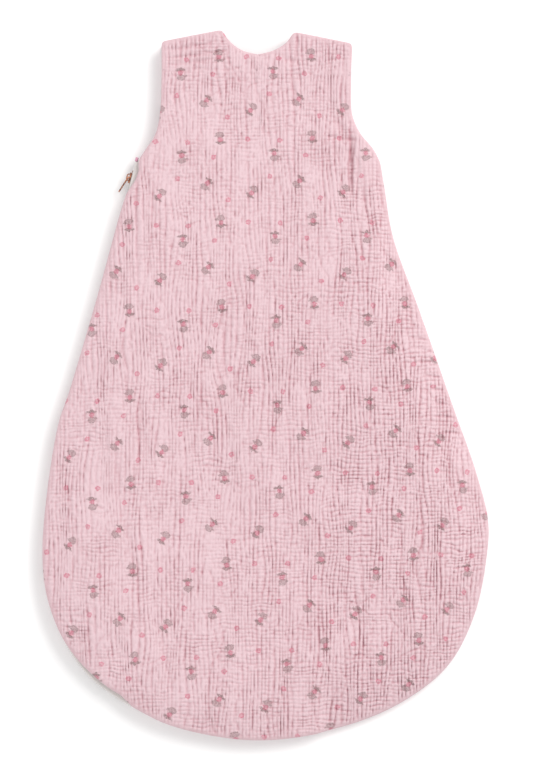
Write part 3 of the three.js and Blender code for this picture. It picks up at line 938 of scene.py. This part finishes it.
def stitched(outer, inner, xy):
    """Triangles that fill the band between two anticlockwise loops of points. Each inner point is joined
    to the outer point that is nearest to it, and never goes back along the loop."""
    tree = KDTree(len(outer))
    for i, (x, y) in enumerate(xy[outer]):
        tree.insert((x, y, 0), i)
    tree.balance()
    near = np.array([tree.find((x, y, 0))[1] for x, y in xy[inner]])
    outer = np.roll(outer, -near[0])
    near = (near - near[0]) % len(outer)
    early = np.arange(len(near)) < len(near) / 2
    near[early & (near > len(outer) * 0.75)] = 0
    near[~early & (near < len(outer) * 0.25)] = len(outer)
    near = np.append(np.maximum.accumulate(near), len(outer))
    faces = []
    for j, point in enumerate(inner):
        after = inner[(j + 1) % len(inner)]
        for i in range(near[j], near[j + 1]):
            faces.append((outer[i], outer[(i + 1) % len(outer)], point))
        faces.append((outer[near[j + 1] % len(outer)], after, point))
    return faces


def inset(outline, distance):
    """A closed outline moved inwards."""
    ahead = unit(np.roll(outline, -1, axis=0) - np.roll(outline, 1, axis=0))
    return outline + distance * left_of(ahead)


def turned(distance, radius):
    """How far a sheet has come round its rolled edge: little at the very edge, 1 from the radius in."""
    share = 1 - np.clip(distance / radius, 0, 1)
    return np.maximum(np.sqrt(1 - share**2), 0.15)


# %% How the cloth lies
ASKEW_X = [  # power of x, power of y, millimetres
    (0, 0, 2.8), (0, 1, -5.0), (0, 2, 3.4), (0, 3, -2.0), (1, 0, 1.5), (1, 1, -3.9), (1, 2, 3.0),
    (2, 0, -1.5), (3, 0, -1.9),
]
ASKEW_Y = [
    (0, 0, 5.9), (0, 1, -3.6), (0, 2, -4.8), (1, 0, 8.8), (1, 1, -6.9), (2, 0, -3.5), (2, 1, -2.0),
    (3, 0, -2.3),
]


def askew(terms, x, y):
    """A smooth drift over the panel, as a sum of powers of x and y."""
    return sum(size * (x / 200) ** i * (y / 300) ** j for i, j, size in terms)


def on_flat_cloth(xy):
    """Where a point lies on the flat cloth, before sewing and wear drew it a few millimetres askew."""
    x, y = xy.T
    return np.stack([x - askew(ASKEW_X, x, y), y - askew(ASKEW_Y, x, y)], axis=1)


print("most askew, mm:", np.round(np.abs(panel_skirt - on_flat_cloth(panel_skirt)).max(axis=0), 1))


# %% A panel
OFF_EDGE = 0.45  # a point this far from the free edge isn't on it


def panel(name, outline, heights, to_edge, top_cell, bottom_cell, rings=(0, 0.5, 1.3)):
    """A closed padded panel. heights(x, y, d) gives the top, the underside and the relief, where d is the
    distance from the free edge. Where the outline is a cut, it ends in a wall that its neighbour meets."""
    cut = (to_edge(*outline.T) > OFF_EDGE) & (to_cuts(*outline.T) < ON_CUT)
    xy, levels, relief, faces = [], [], [], []
    edge_rings = []

    def add_points(points, offset, on_top):
        d = to_edge(*points.T)
        if offset is not None:
            d = np.where(cut, d, np.minimum(d, offset))
        top, low, raised = heights(points[:, 0], points[:, 1], d)
        start = sum(map(len, xy))
        xy.append(points)
        levels.append(top if on_top else low)
        relief.append(raised)
        return np.arange(start, start + len(points))

    for on_top, cell in ((True, top_cell), (False, bottom_cell)):
        made = []
        for offset in rings:
            made.append(add_points(inset(outline, offset), offset, on_top))
        edge_rings.append(made[0])
        for a, b in zip(made, made[1:]):
            strip = quads_between(a, b)
            faces.extend((strip if on_top else strip[:, ::-1]).tolist())
        xs, ys, quads = grid_inside(inset(outline, rings[-1]), cell, 0.45 * cell)
        j, i = np.nonzero(quads)
        wide = quads.shape[1] + 1
        first = j * wide + i
        corners = np.stack([first, first + 1, first + wide + 1, first + wide], axis=1)
        used, places = np.unique(corners, return_inverse=True)
        placed = add_points(np.stack([xs[used % wide], ys[used // wide]], axis=1), None, on_top)
        corners = placed[places.reshape(corners.shape)]
        loop = placed[np.searchsorted(used, loop_round(quads))]
        band = stitched(made[-1], loop, np.vstack(xy))
        faces.extend((corners if on_top else corners[:, ::-1]).tolist())
        faces.extend(band if on_top else [f[::-1] for f in band])
    above, below = edge_rings
    faces.extend(quads_between(below, above).tolist())

    xy = np.vstack(xy)
    points = np.column_stack([xy, np.concatenate(levels)])
    piece = cloth_mesh(name, points * MM, faces, np.concatenate(relief), on_flat_cloth(xy))
    sharpen(piece, np.concatenate([above[cut], below[cut]]))
    print(name, "points:", len(xy), "faces:", len(faces))
    return piece


def cloth_mesh(name, points, faces, relief, flat):
    """An object with a mesh, its relief, and its place on the flat cloth as a UV map."""
    mesh = bpy.data.meshes.new(name)
    mesh.from_pydata(points, [], faces)
    mesh.shade_smooth()
    mesh.attributes.new("relief", "FLOAT", "POINT").data.foreach_set("value", relief.astype(np.float32))
    corners = np.zeros(len(mesh.loops), np.int32)
    mesh.loops.foreach_get("vertex_index", corners)
    spread = mesh.uv_layers.new(name="cloth")
    spread.data.foreach_set("uv", (flat[corners] * MM).astype(np.float32).ravel())
    piece = bpy.data.objects.new(name, mesh)
    bpy.context.scene.collection.objects.link(piece)
    return piece


def sharpen(piece, points):
    """Keeps the shading flat up to a cut, by marking the edges whose ends are both on it."""
    mesh = piece.data
    ends = np.zeros(2 * len(mesh.edges), np.int32)
    mesh.edges.foreach_get("vertices", ends)
    on_cut = np.isin(ends, points).reshape(-1, 2).all(axis=1)
    mesh.attributes.new("sharp_edge", "BOOLEAN", "EDGE").data.foreach_set("value", on_cut)


def dress(piece, finish, slot_name, *nodes):
    """Gives a piece its finish and hides the nodes that it stands for. Its slot name is not used."""
    piece.data.materials.clear()
    piece.data.materials.append(finish)
    if nodes:
        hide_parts(*nodes)


print("panel maker ready")

# %% [markdown]
# ## The back panel and its two shoulder straps
#
# The back panel is what is seen from above. Its gauze and wadding are made as one padded panel, because
# they are quilted together by the crinkle. On the bag it folds open at the seam side, like the cover of a
# book, and each shoulder strap folds along its own line; here they are made as they lie at rest, and
# nothing bends them. Each shoulder strap is its own piece, cut off along a line near the armhole. Both
# sides of a cut read the same heights, so that the cloth runs on unbroken.

# %% Back panel
EDGE_ROLL = 3.4
CRINKLE_HEIGHT = 2.3
EDGE_CRINKLE = 0.7  # its height at the free edge, where the seam holds it flat
MEAN_CRINKLE = 0.6
GAUZE_THICK = 1.5


def back_heights(x, y, d):
    """Top, underside and relief of the back panel and its straps."""
    low = underside(x, y) + LINING_THICK + PLY_GAP
    thick = wadding(y) + GAUZE_THICK
    bumps = read(crinkle, x, y)
    in_field = step(d, 0.5, 7)
    sunk = read(folds, x, y)
    body = read(swells, x, y) * step(d, 2, 30) * step(thick, 3.0, 5.5) - sunk * step(d, 0, 9)
    puffed = (bumps - MEAN_CRINKLE) * lerp(EDGE_CRINKLE, CRINKLE_HEIGHT, in_field)
    # The relief is what the gauze paints its shade from: calmer near the free edge, where the crinkle is
    # flatter, and lowered along the folds, so that painted shade darkens them.
    at_edge = 0.72 + 0.3 * (bumps - MEAN_CRINKLE)
    shade = lerp(at_edge, bumps, step(d, 1, 6)) - 0.08 * np.clip(sunk, 0, 4)
    top = low + thick + body + puffed
    middle = low + thick / 2
    round_it = turned(d, EDGE_ROLL)
    return middle + (top - middle) * round_it, middle - (middle - low) * round_it, shade


BACK_CELL = 0.9
back_cloth = panel("back_cloth", back_outline, back_heights, to_back_edge, BACK_CELL, 12)
dress(back_cloth, gauze, "gauze", "back_outer_gauze", "back_wadding", "side_outer_gauze", "side_wadding")

# %% Straps
SHOULDERS = {  # outline, a point on the fold in metres, and the way that the fold runs
    "left": (left_strap_outline, (-0.06854, 0.31990), (0.9818, 0.1898)),
    "right": (right_strap_outline, (0.05139, 0.31793), (0.9806, -0.1961)),
}


def bend_strap(piece, side):
    """Bakes a piece's transform into its mesh. The strap's fold line is read, but the piece isn't bent along
    it.
    """
    (x, y), (ahead_x, ahead_y) = SHOULDERS[side][1:]
    up = Vector((-ahead_y, ahead_x, 0))
    side + "_strap"
    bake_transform(piece)


for side, (outline, *_) in SHOULDERS.items():
    strap = panel(side + "_strap_cloth", outline, back_heights, to_back_edge, BACK_CELL, 6)
    dress(strap, gauze, "gauze", side + "_shoulder_outer_gauze", side + "_shoulder_wadding")
    bend_strap(strap, side)

# %% [markdown]
# ## The front panel
#
# The front lies on the floor with its outside down. Its underside is crinkled like the back, and it is
# pressed up round the four caps of the press studs. The floor flattens the crinkle a little.

# %% Front panel
STUD_PLACES = [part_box(s + "_" + i + "_snap_cap") for s in ("left", "right") for i in ("outer", "inner")]
stud_middles = [((low + high) / 2 / MM)[:2] for low, high in ((Vector(a), Vector(b)) for a, b in STUD_PLACES)]
FRONT_MIDDLE = 3.1
FRONT_ROLL = 2.8
FLOOR_GAP = 0.1
PRESSED_CRINKLE = 0.9
OVER_CAP = 1.35


def front_heights(x, y, d):
    """Top, underside and relief of the front panel."""
    bumps = read(crinkle[:, ::-1], x, y)
    low = FLOOR_GAP + (1 - bumps) * PRESSED_CRINKLE
    for cx, cy in stud_middles:
        pressed = 1 - step(np.hypot(x - cx, y - cy), 5.2, 10)
        low = lerp(low, OVER_CAP, pressed)
    top = np.full_like(x, FRONT_TOP - LINING_THICK - 0.2)
    round_it = turned(d, FRONT_ROLL)
    top = FRONT_MIDDLE + (top - FRONT_MIDDLE) * round_it
    return top, FRONT_MIDDLE - (FRONT_MIDDLE - low) * round_it, bumps


FRONT_CELL = 1.5
front_cloth = panel("front_cloth", front_outline, front_heights, to_front_edge, 10, FRONT_CELL)
dress(front_cloth, gauze, "gauze", "front_outer_gauze", "front_wadding")
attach(front_cloth, "front")

# %% [markdown]
# ## Linings
#
# Each lining is a single sheet, a little smaller than its panel, so that the gauze rolls over at the edge
# and hides the seam.

# %% Lining sheets
LINING_INSET = 1.6
LINING_CELL = 4


def back_lining_heights(x, y, d):
    """Top, underside and relief of the back's lining and its straps'."""
    low = underside(x, y) + 0.08 + 0.05 * read(swells, x, y)
    return low + 0.95, low, read(crinkle, x, y)


def front_lining_heights(x, y, d):
    """Top, underside and relief of the front's lining."""
    low = FRONT_TOP - LINING_THICK + 0.05 + 0.0 * x
    return low + 1.0 + 0.04 * read(swells, x, y), low, read(crinkle, x, y)


def outline_area(outline):
    """The area inside an outline, in square metres."""
    return abs(twice_area(outline)) / 2 * MM**2


def lining(name, outline, heights, to_edge, rests_on, *nodes):
    """A lining sheet, drawn in at the free edge and whole at a cut."""
    on_cut = (to_cuts(*outline.T) < ON_CUT) & (to_edge(*outline.T) > LINING_INSET)
    cut_to = inset(outline, np.where(on_cut, 0, LINING_INSET)[:, None])
    piece = panel(name, cut_to, heights, to_edge, LINING_CELL, LINING_CELL, rings=(0, 1.0))
    dress(piece, lining_finish, "lining", *nodes)
    outline_area(outline)
    return piece


back_lining_cloth = lining(
    "back_lining_cloth", back_outline, back_lining_heights, to_back_edge, "back_cloth",
    "back_lining", "side_lining",
)
for side, (outline, *_) in SHOULDERS.items():
    piece = lining(
        side + "_strap_lining", outline, back_lining_heights, to_back_edge, side + "_strap_cloth",
        side + "_shoulder_lining",
    )
    bend_strap(piece, side)
front_lining_cloth = lining(
    "front_lining_cloth", front_outline, front_lining_heights, to_front_edge, "front_cloth", "front_lining"
)
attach(front_lining_cloth, "front")
for piece in (back_cloth, back_lining_cloth):
    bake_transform(piece)

# %% [markdown]
# ## Ribbons that follow an edge
#
# The zip's two tapes and the turned-under ends of the straps are all strips of cloth with one
# cross-section, which runs along an edge. So one function makes them: it takes the line, and the section
# as a few points, each with its distance inwards from the line and its height.


# %% A ribbon
def ribbon(name, line, section, half, shift=None):
    """A strip of cloth, 2 x half thick. shift[i] moves a station's section outwards near its first point."""
    section = evenly(run(section, 0.4), 0.8) if half > 0.5 else evenly(run(section, 0.3), 0.6)
    across = length_along(section)
    ahead = unit(np.gradient(section, axis=0))
    side = left_of(ahead) * half
    tip_a, tip_b = section[:1] - ahead[:1] * half * 0.8, section[-1:] + ahead[-1:] * half * 0.8
    rim = np.vstack([tip_a, section + side, tip_b, (section - side)[::-1]])
    along_section = np.concatenate([[0], across, across[-1:], across[::-1]])
    inward = left_of(unit(np.gradient(line, axis=0)))
    along = length_along(line)
    points, flat = [], []
    near_start = 1 - step(along_section, 0, across[-1] * 0.45)
    for i, (place, towards) in enumerate(zip(line, inward)):
        n = rim[:, 0] - (shift[i] * near_start if shift is not None else 0)
        points.append(np.column_stack([place[0] + towards[0] * n, place[1] + towards[1] * n, rim[:, 1]]))
        flat.append(np.column_stack([np.full(len(rim), along[i]), along_section]))
    count, stations = len(rim), len(line)
    corner = np.arange(count)
    faces = []
    for i in range(stations - 1):
        here = i * count + corner
        faces.extend(quads_between(here, here + count).tolist())
    faces.append(list(range(count))[::-1])
    faces.append([(stations - 1) * count + k for k in range(count)])
    points, flat = np.vstack(points), np.vstack(flat)
    piece = cloth_mesh(name, points * MM, faces, np.full(len(points), 0.8), flat)
    face_outwards(piece)
    return piece


def edit_all(piece):
    """Opens one piece in edit mode, with all of it selected and nothing else."""
    bpy.ops.object.select_all(action="DESELECT")
    bpy.context.view_layer.objects.active = piece
    piece.select_set(True)
    bpy.ops.object.mode_set(mode="EDIT")
    bpy.ops.mesh.select_all(action="SELECT")


def face_outwards(piece):
    """Makes every face of a closed piece point outwards."""
    edit_all(piece)
    bpy.ops.mesh.normals_make_consistent(inside=False)
    bpy.ops.object.mode_set(mode="OBJECT")


print("ribbon maker ready")

# %% [markdown]
# ## The zip
#
# The zip starts under the left arm, runs down the side and round the foot. Each half is a ribbed tape,
# folded at a right angle so that its flange lies under a panel's edge, with a row of teeth along its free
# edge. Where the panels are drawn back, at the lower left, the flange shows as a pale line.

# %% Tapes
ZIP_CENTRE = 11.65
SLIDER_HOME = np.array([-132.5, 205])
ZIP_DOWN = np.array([-0.27, -1]) / math.hypot(0.27, 1)
STRAIGHT_RUN = 252
TAPE_START = -16
TEETH_START = -4
ZIP_STEP = 1.2
TAPE_HALF = 0.35
WAVES_FROM = 268  # past the slider's travel, so that it never meets the waves
WAVES_FULL = 310

foot_run = run(
    [
        SLIDER_HOME + ZIP_DOWN * STRAIGHT_RUN, (-207, -72), (-213.5, -110), (-216.8, -150), (-216.2, -190),
        (-209, -228), (-195, -260), (-174, -288), (-148, -308), (-114, -325), (-70, -337.5), (-10, -344.5),
        (40, -341),
    ]
)
zip_top = SLIDER_HOME + ZIP_DOWN * TAPE_START
straight_end = SLIDER_HOME + ZIP_DOWN * (STRAIGHT_RUN - 1)
zip_line = evenly(np.vstack([zip_top, straight_end, foot_run]), ZIP_STEP)
from_top = np.arange(len(zip_line)) * ZIP_STEP
wobble = np.interp(from_top, np.arange(0, 900, 30), draws.normal(0, 0.35, 30))
bulge = np.clip(wobble, -0.2, 0.9) * step(from_top, WAVES_FROM, WAVES_FULL)
TAPE_SECTION = [(0, 1.0), (0, 2.4), (0.15, 3.3), (0.9, 3.95), (3, 4.05), (6, 4.05), (9, 4.1)]

for side, turn in (("back", 1), ("front", -1)):
    section = [(n, ZIP_CENTRE + turn * h) for n, h in TAPE_SECTION]
    tape = ribbon("zip_tape_" + side + "_cloth", zip_line, section, TAPE_HALF, bulge)
    dress(tape, tape_finish, "tape", "zip_tape_" + side)
    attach(tape, side)
    print(tape.name, "length, mm:", round(ZIP_STEP * (len(zip_line) - 1)))


# %% Teeth
TOOTH_PITCH = 2.4
TOOTH_SIZE = (1.9, 1.0, 1.9)
TOOTH_LIFT = 1.3


def one_tooth():
    """A tooth with rounded edges, standing in from the chain's middle. X is outwards, Y along and Z up."""
    bpy.ops.object.select_all(action="DESELECT")
    bpy.ops.mesh.primitive_cube_add(size=1)
    tooth = bpy.context.active_object
    tooth.scale = [size * MM for size in TOOTH_SIZE]
    tooth.location = (0, 0, TOOTH_LIFT * MM)
    bpy.ops.object.transform_apply(location=True, rotation=False, scale=True)
    edit_all(tooth)
    bpy.ops.mesh.bevel(offset=0.3 * MM, segments=1)
    bpy.ops.object.mode_set(mode="OBJECT")
    points = np.array([v.co for v in tooth.data.vertices]) / MM
    faces = [list(p.vertices) for p in tooth.data.polygons]
    bpy.data.objects.remove(tooth)
    return points, faces


tooth_points, tooth_faces = one_tooth()
along_zip = from_top + TAPE_START


def on_zip(at):
    """The place that far down the zip from the slider's home."""
    return np.array([np.interp(at, along_zip, zip_line[:, k]) for k in (0, 1)])


for side, turn, start in (("back", 1, TEETH_START), ("front", -1, TEETH_START + TOOTH_PITCH / 2)):
    stations = np.arange(start, along_zip[-1] - 1, TOOTH_PITCH)
    points, faces = [], []
    for at in stations:
        place = on_zip(at)
        ahead = on_zip(at + 0.6) - place
        ahead /= np.linalg.norm(ahead)
        outward = np.array([ahead[1], -ahead[0]])
        x, y, z = tooth_points.T
        x = x + np.interp(at, along_zip, bulge)
        start_at = len(points) * len(tooth_points)
        flat = place + np.outer(x, outward) + np.outer(y, ahead)
        points.append(np.column_stack([flat, ZIP_CENTRE + turn * z]))
        faces.extend([[start_at + k for k in face] for face in tooth_faces])
    points = np.vstack(points)
    teeth = cloth_mesh("zip_teeth_" + side, points * MM, faces, np.ones(len(points)), points[:, :2])
    face_outwards(teeth)
    dress(teeth, teeth_finish, "coil", "zip_coil_" + side)
    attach(teeth, side)
    print(teeth.name, "teeth:", len(stations))

# %% [markdown]
# ## The zip's small hardware
#
# The slider, its bridge and pull, and the stops have the right shape in the frame, but every edge there
# is knife sharp. A cast and plated part has soft edges that catch the light, so each is copied, its
# triangles are merged, and its edges are bevelled.


# %% Softened copies
def soften_edges(piece, width, corner):
    """Rounds every edge that turns by more than corner degrees, and shades the rest smooth."""
    bevel = piece.modifiers.new("soft edges", "BEVEL")
    bevel.width = width
    bevel.segments = 3
    bevel.limit_method = "ANGLE"
    bevel.angle_limit = math.radians(corner)
    bpy.ops.object.modifier_apply(modifier=bevel.name)
    bpy.ops.object.shade_smooth_by_angle(angle=math.radians(40))


def softened(node, width, body, finish, slot_name):
    """A copy of a node, merged, with its edges rounded."""
    piece = bpy.data.objects.new(node + "_finished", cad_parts[node].data.copy())
    bpy.context.scene.collection.objects.link(piece)
    edit_all(piece)
    bpy.ops.mesh.remove_doubles(threshold=0.002 * MM)
    bpy.ops.mesh.dissolve_limited(angle_limit=math.radians(2))
    bpy.ops.object.mode_set(mode="OBJECT")
    soften_edges(piece, width, 35)
    dress(piece, finish, slot_name, node)
    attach(piece, body)
    print(piece.name, "faces:", len(piece.data.polygons))


for node, width, body in (
    ("zip_slider_body", 0.16, "slider"),
    ("zip_slider_bridge", 0.22, "slider"),
    ("zip_pull_tab", 0.25, "pull"),
    ("zip_top_stop_back", 0.3, "back"),
    ("zip_top_stop_front", 0.3, "front"),
    ("zip_bottom_stop", 0.4, "front"),
):
    softened(node, width * MM, body, copper, "copper")
softened("zip_end_tab", 0.6 * MM, "front", tab_finish, "gauze")

# %% [markdown]
# ## The straps' turned-under ends
#
# Each shoulder strap is turned over the shoulder's edge and under, and the press studs are set in the
# part that lies under. Its section is a J: down the edge, round, and 20 mm back along the underside.

# %% Turned-under ends
TAB_SECTION = [(1.2, 19.2), (1.2, 16.5), (1.25, 14.2), (2.4, 12.3), (5.0, 12.0), (12, 12.0), (21, 12.0)]
TAB_HALF = 1.1
TAB_TRIM = 0.6  # taken off each end
TAB_STEP = 2.0

for side, line in (("left", left_edge), ("right", right_edge)):
    shorter = evenly(line, TAB_STEP)[::-1]
    ahead = (shorter[-1] - shorter[0]) / np.linalg.norm(shorter[-1] - shorter[0])
    shorter[0] += ahead * TAB_TRIM
    shorter[-1] -= ahead * TAB_TRIM
    tab = ribbon(side + "_strap_end", shorter, TAB_SECTION, TAB_HALF)
    dress(tab, gauze, "gauze", side + "_shoulder_tab")
    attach(tab, side + "_strap")
    print(tab.name, "points:", len(tab.data.vertices))

# %% [markdown]
# ## Press studs
#
# Each strap has two press studs, and each stud has four turned pieces: a cap on the outside of the front,
# a socket on its lining, and on the strap a stud that clicks into the socket and a post that holds it. A
# disc is the start of them all. Insetting its face and pulling the inset out makes a shank or a nose, and
# pushing it in makes the bowl.


# %% Discs, shanks and bowls
STUD_RADIUS = 4.8


def pick_end(piece, up):
    """Selects the disc's end face on the side that up names, 1 or -1."""
    b = bmesh.from_edit_mesh(piece.data)
    ends = [f for f in b.faces if f.normal.z * up > 0.9]
    end = max(ends, key=lambda f: f.calc_center_median().z * up)
    for f in b.faces:
        f.select = f is end
    b.select_flush_mode()
    bmesh.update_edit_mesh(piece.data)


def disc(name, middle, low, high):
    """A disc of a stud's width, in edit mode."""
    bpy.ops.object.select_all(action="DESELECT")
    place = (middle[0], middle[1], (low + high) / 2 * MM)
    depth = (high - low) * MM
    bpy.ops.mesh.primitive_cylinder_add(vertices=40, radius=STUD_RADIUS * MM, depth=depth, location=place)
    piece = bpy.context.active_object
    piece.name = piece.data.name = name
    bpy.ops.object.transform_apply(location=True, rotation=False, scale=False)
    bpy.ops.object.mode_set(mode="EDIT")
    bpy.ops.mesh.select_mode(type="FACE")
    return piece


def inset_end(piece, up, width, rise=0.0):
    """Insets the end face, and raises or sinks the inset."""
    pick_end(piece, up)
    bpy.ops.mesh.inset(thickness=width * MM, depth=rise * MM)


def pull_end(piece, up, length):
    """Pulls the end face straight out into a shank."""
    pick_end(piece, up)
    bpy.ops.mesh.extrude_region_move(TRANSFORM_OT_translate={"value": (0, 0, up * length * MM)})


def finish_stud(piece, body, node, soft=0.2):
    """Leaves edit mode, rounds the edges and fixes a stud's piece to its body."""
    bpy.ops.object.mode_set(mode="OBJECT")
    soften_edges(piece, soft * MM, 40)
    dress(piece, stud_finish, "snap", node)
    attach(piece, body)


SHANK_INSET = 3.3  # leaves a shank of 1.5 mm radius
for side in ("left", "right"):
    for which in ("outer", "inner"):
        stem = side + "_" + which + "_snap_"
        strap = side + "_strap"
        low, high = (Vector(c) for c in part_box(stem + "cap"))
        middle = (low + high) / 2
        cap = disc(stem + "cap_finished", middle, 0.15, 1.2)
        inset_end(cap, -1, 0.8)
        inset_end(cap, -1, 0.5, -0.2)
        inset_end(cap, 1, SHANK_INSET)
        pull_end(cap, 1, 5.5)
        finish_stud(cap, "front", stem + "cap", 0.25)
        socket = disc(stem + "socket_finished", middle, 7.3, 8.7)
        inset_end(socket, 1, 0.6, 0.8)
        inset_end(socket, 1, 0.6)
        inset_end(socket, 1, 1.3, -1.6)
        finish_stud(socket, "front", stem + "socket")
        nose = disc(stem + "stud_finished", middle, 9.8, 10.5)
        inset_end(nose, -1, 2.9)
        pull_end(nose, -1, 1.4)
        inset_end(nose, -1, 0.4, 0.45)
        finish_stud(nose, strap, stem + "stud")
        post = disc(stem + "post_finished", middle, 13.5, 14.2)
        inset_end(post, -1, SHANK_INSET)
        pull_end(post, -1, 2.7)
        inset_end(post, 1, 0.6, 0.2)
        finish_stud(post, strap, stem + "post")

# %% [markdown]
# ## The care label
#
# A white satin ribbon is sewn into the seam, inside the bag. It is left blank.

# %% Label
LABEL_THICK = 0.3 * MM
LABEL_LIFT = 0.1 * MM
LABEL_CURL = 0.5 * MM
LABEL_RIPPLE = 260

low, high = (Vector(c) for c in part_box("care_label"))
bpy.ops.object.select_all(action="DESELECT")
bpy.ops.mesh.primitive_grid_add(x_subdivisions=40, y_subdivisions=28, size=1, location=(low + high) / 2)
label = bpy.context.active_object
label.name = label.data.name = "care_label_ribbon"
label.scale = (high.x - low.x, high.y - low.y, 1)
bpy.ops.object.transform_apply(location=True, rotation=False, scale=True)
for v in label.data.vertices:
    share = (v.co.x - low.x) / (high.x - low.x)
    ripple = 1 + 0.5 * math.sin((v.co.y - low.y) * LABEL_RIPPLE)
    v.co.z = low.z + LABEL_LIFT + (1 - share) ** 2 * LABEL_CURL * ripple
solidify = label.modifiers.new("thickness", "SOLIDIFY")
solidify.thickness = LABEL_THICK
solidify.offset = 0
bpy.ops.object.modifier_apply(modifier=solidify.name)
label.data.shade_smooth()
spread = label.data.uv_layers[0] if label.data.uv_layers else label.data.uv_layers.new()
spread.name = "cloth"
for loop in label.data.loops:
    spread.data[loop.index].uv = label.data.vertices[loop.vertex_index].co.xy
dress(label, satin, "label", "care_label")
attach(label, "front")
print("label points:", len(label.data.vertices))
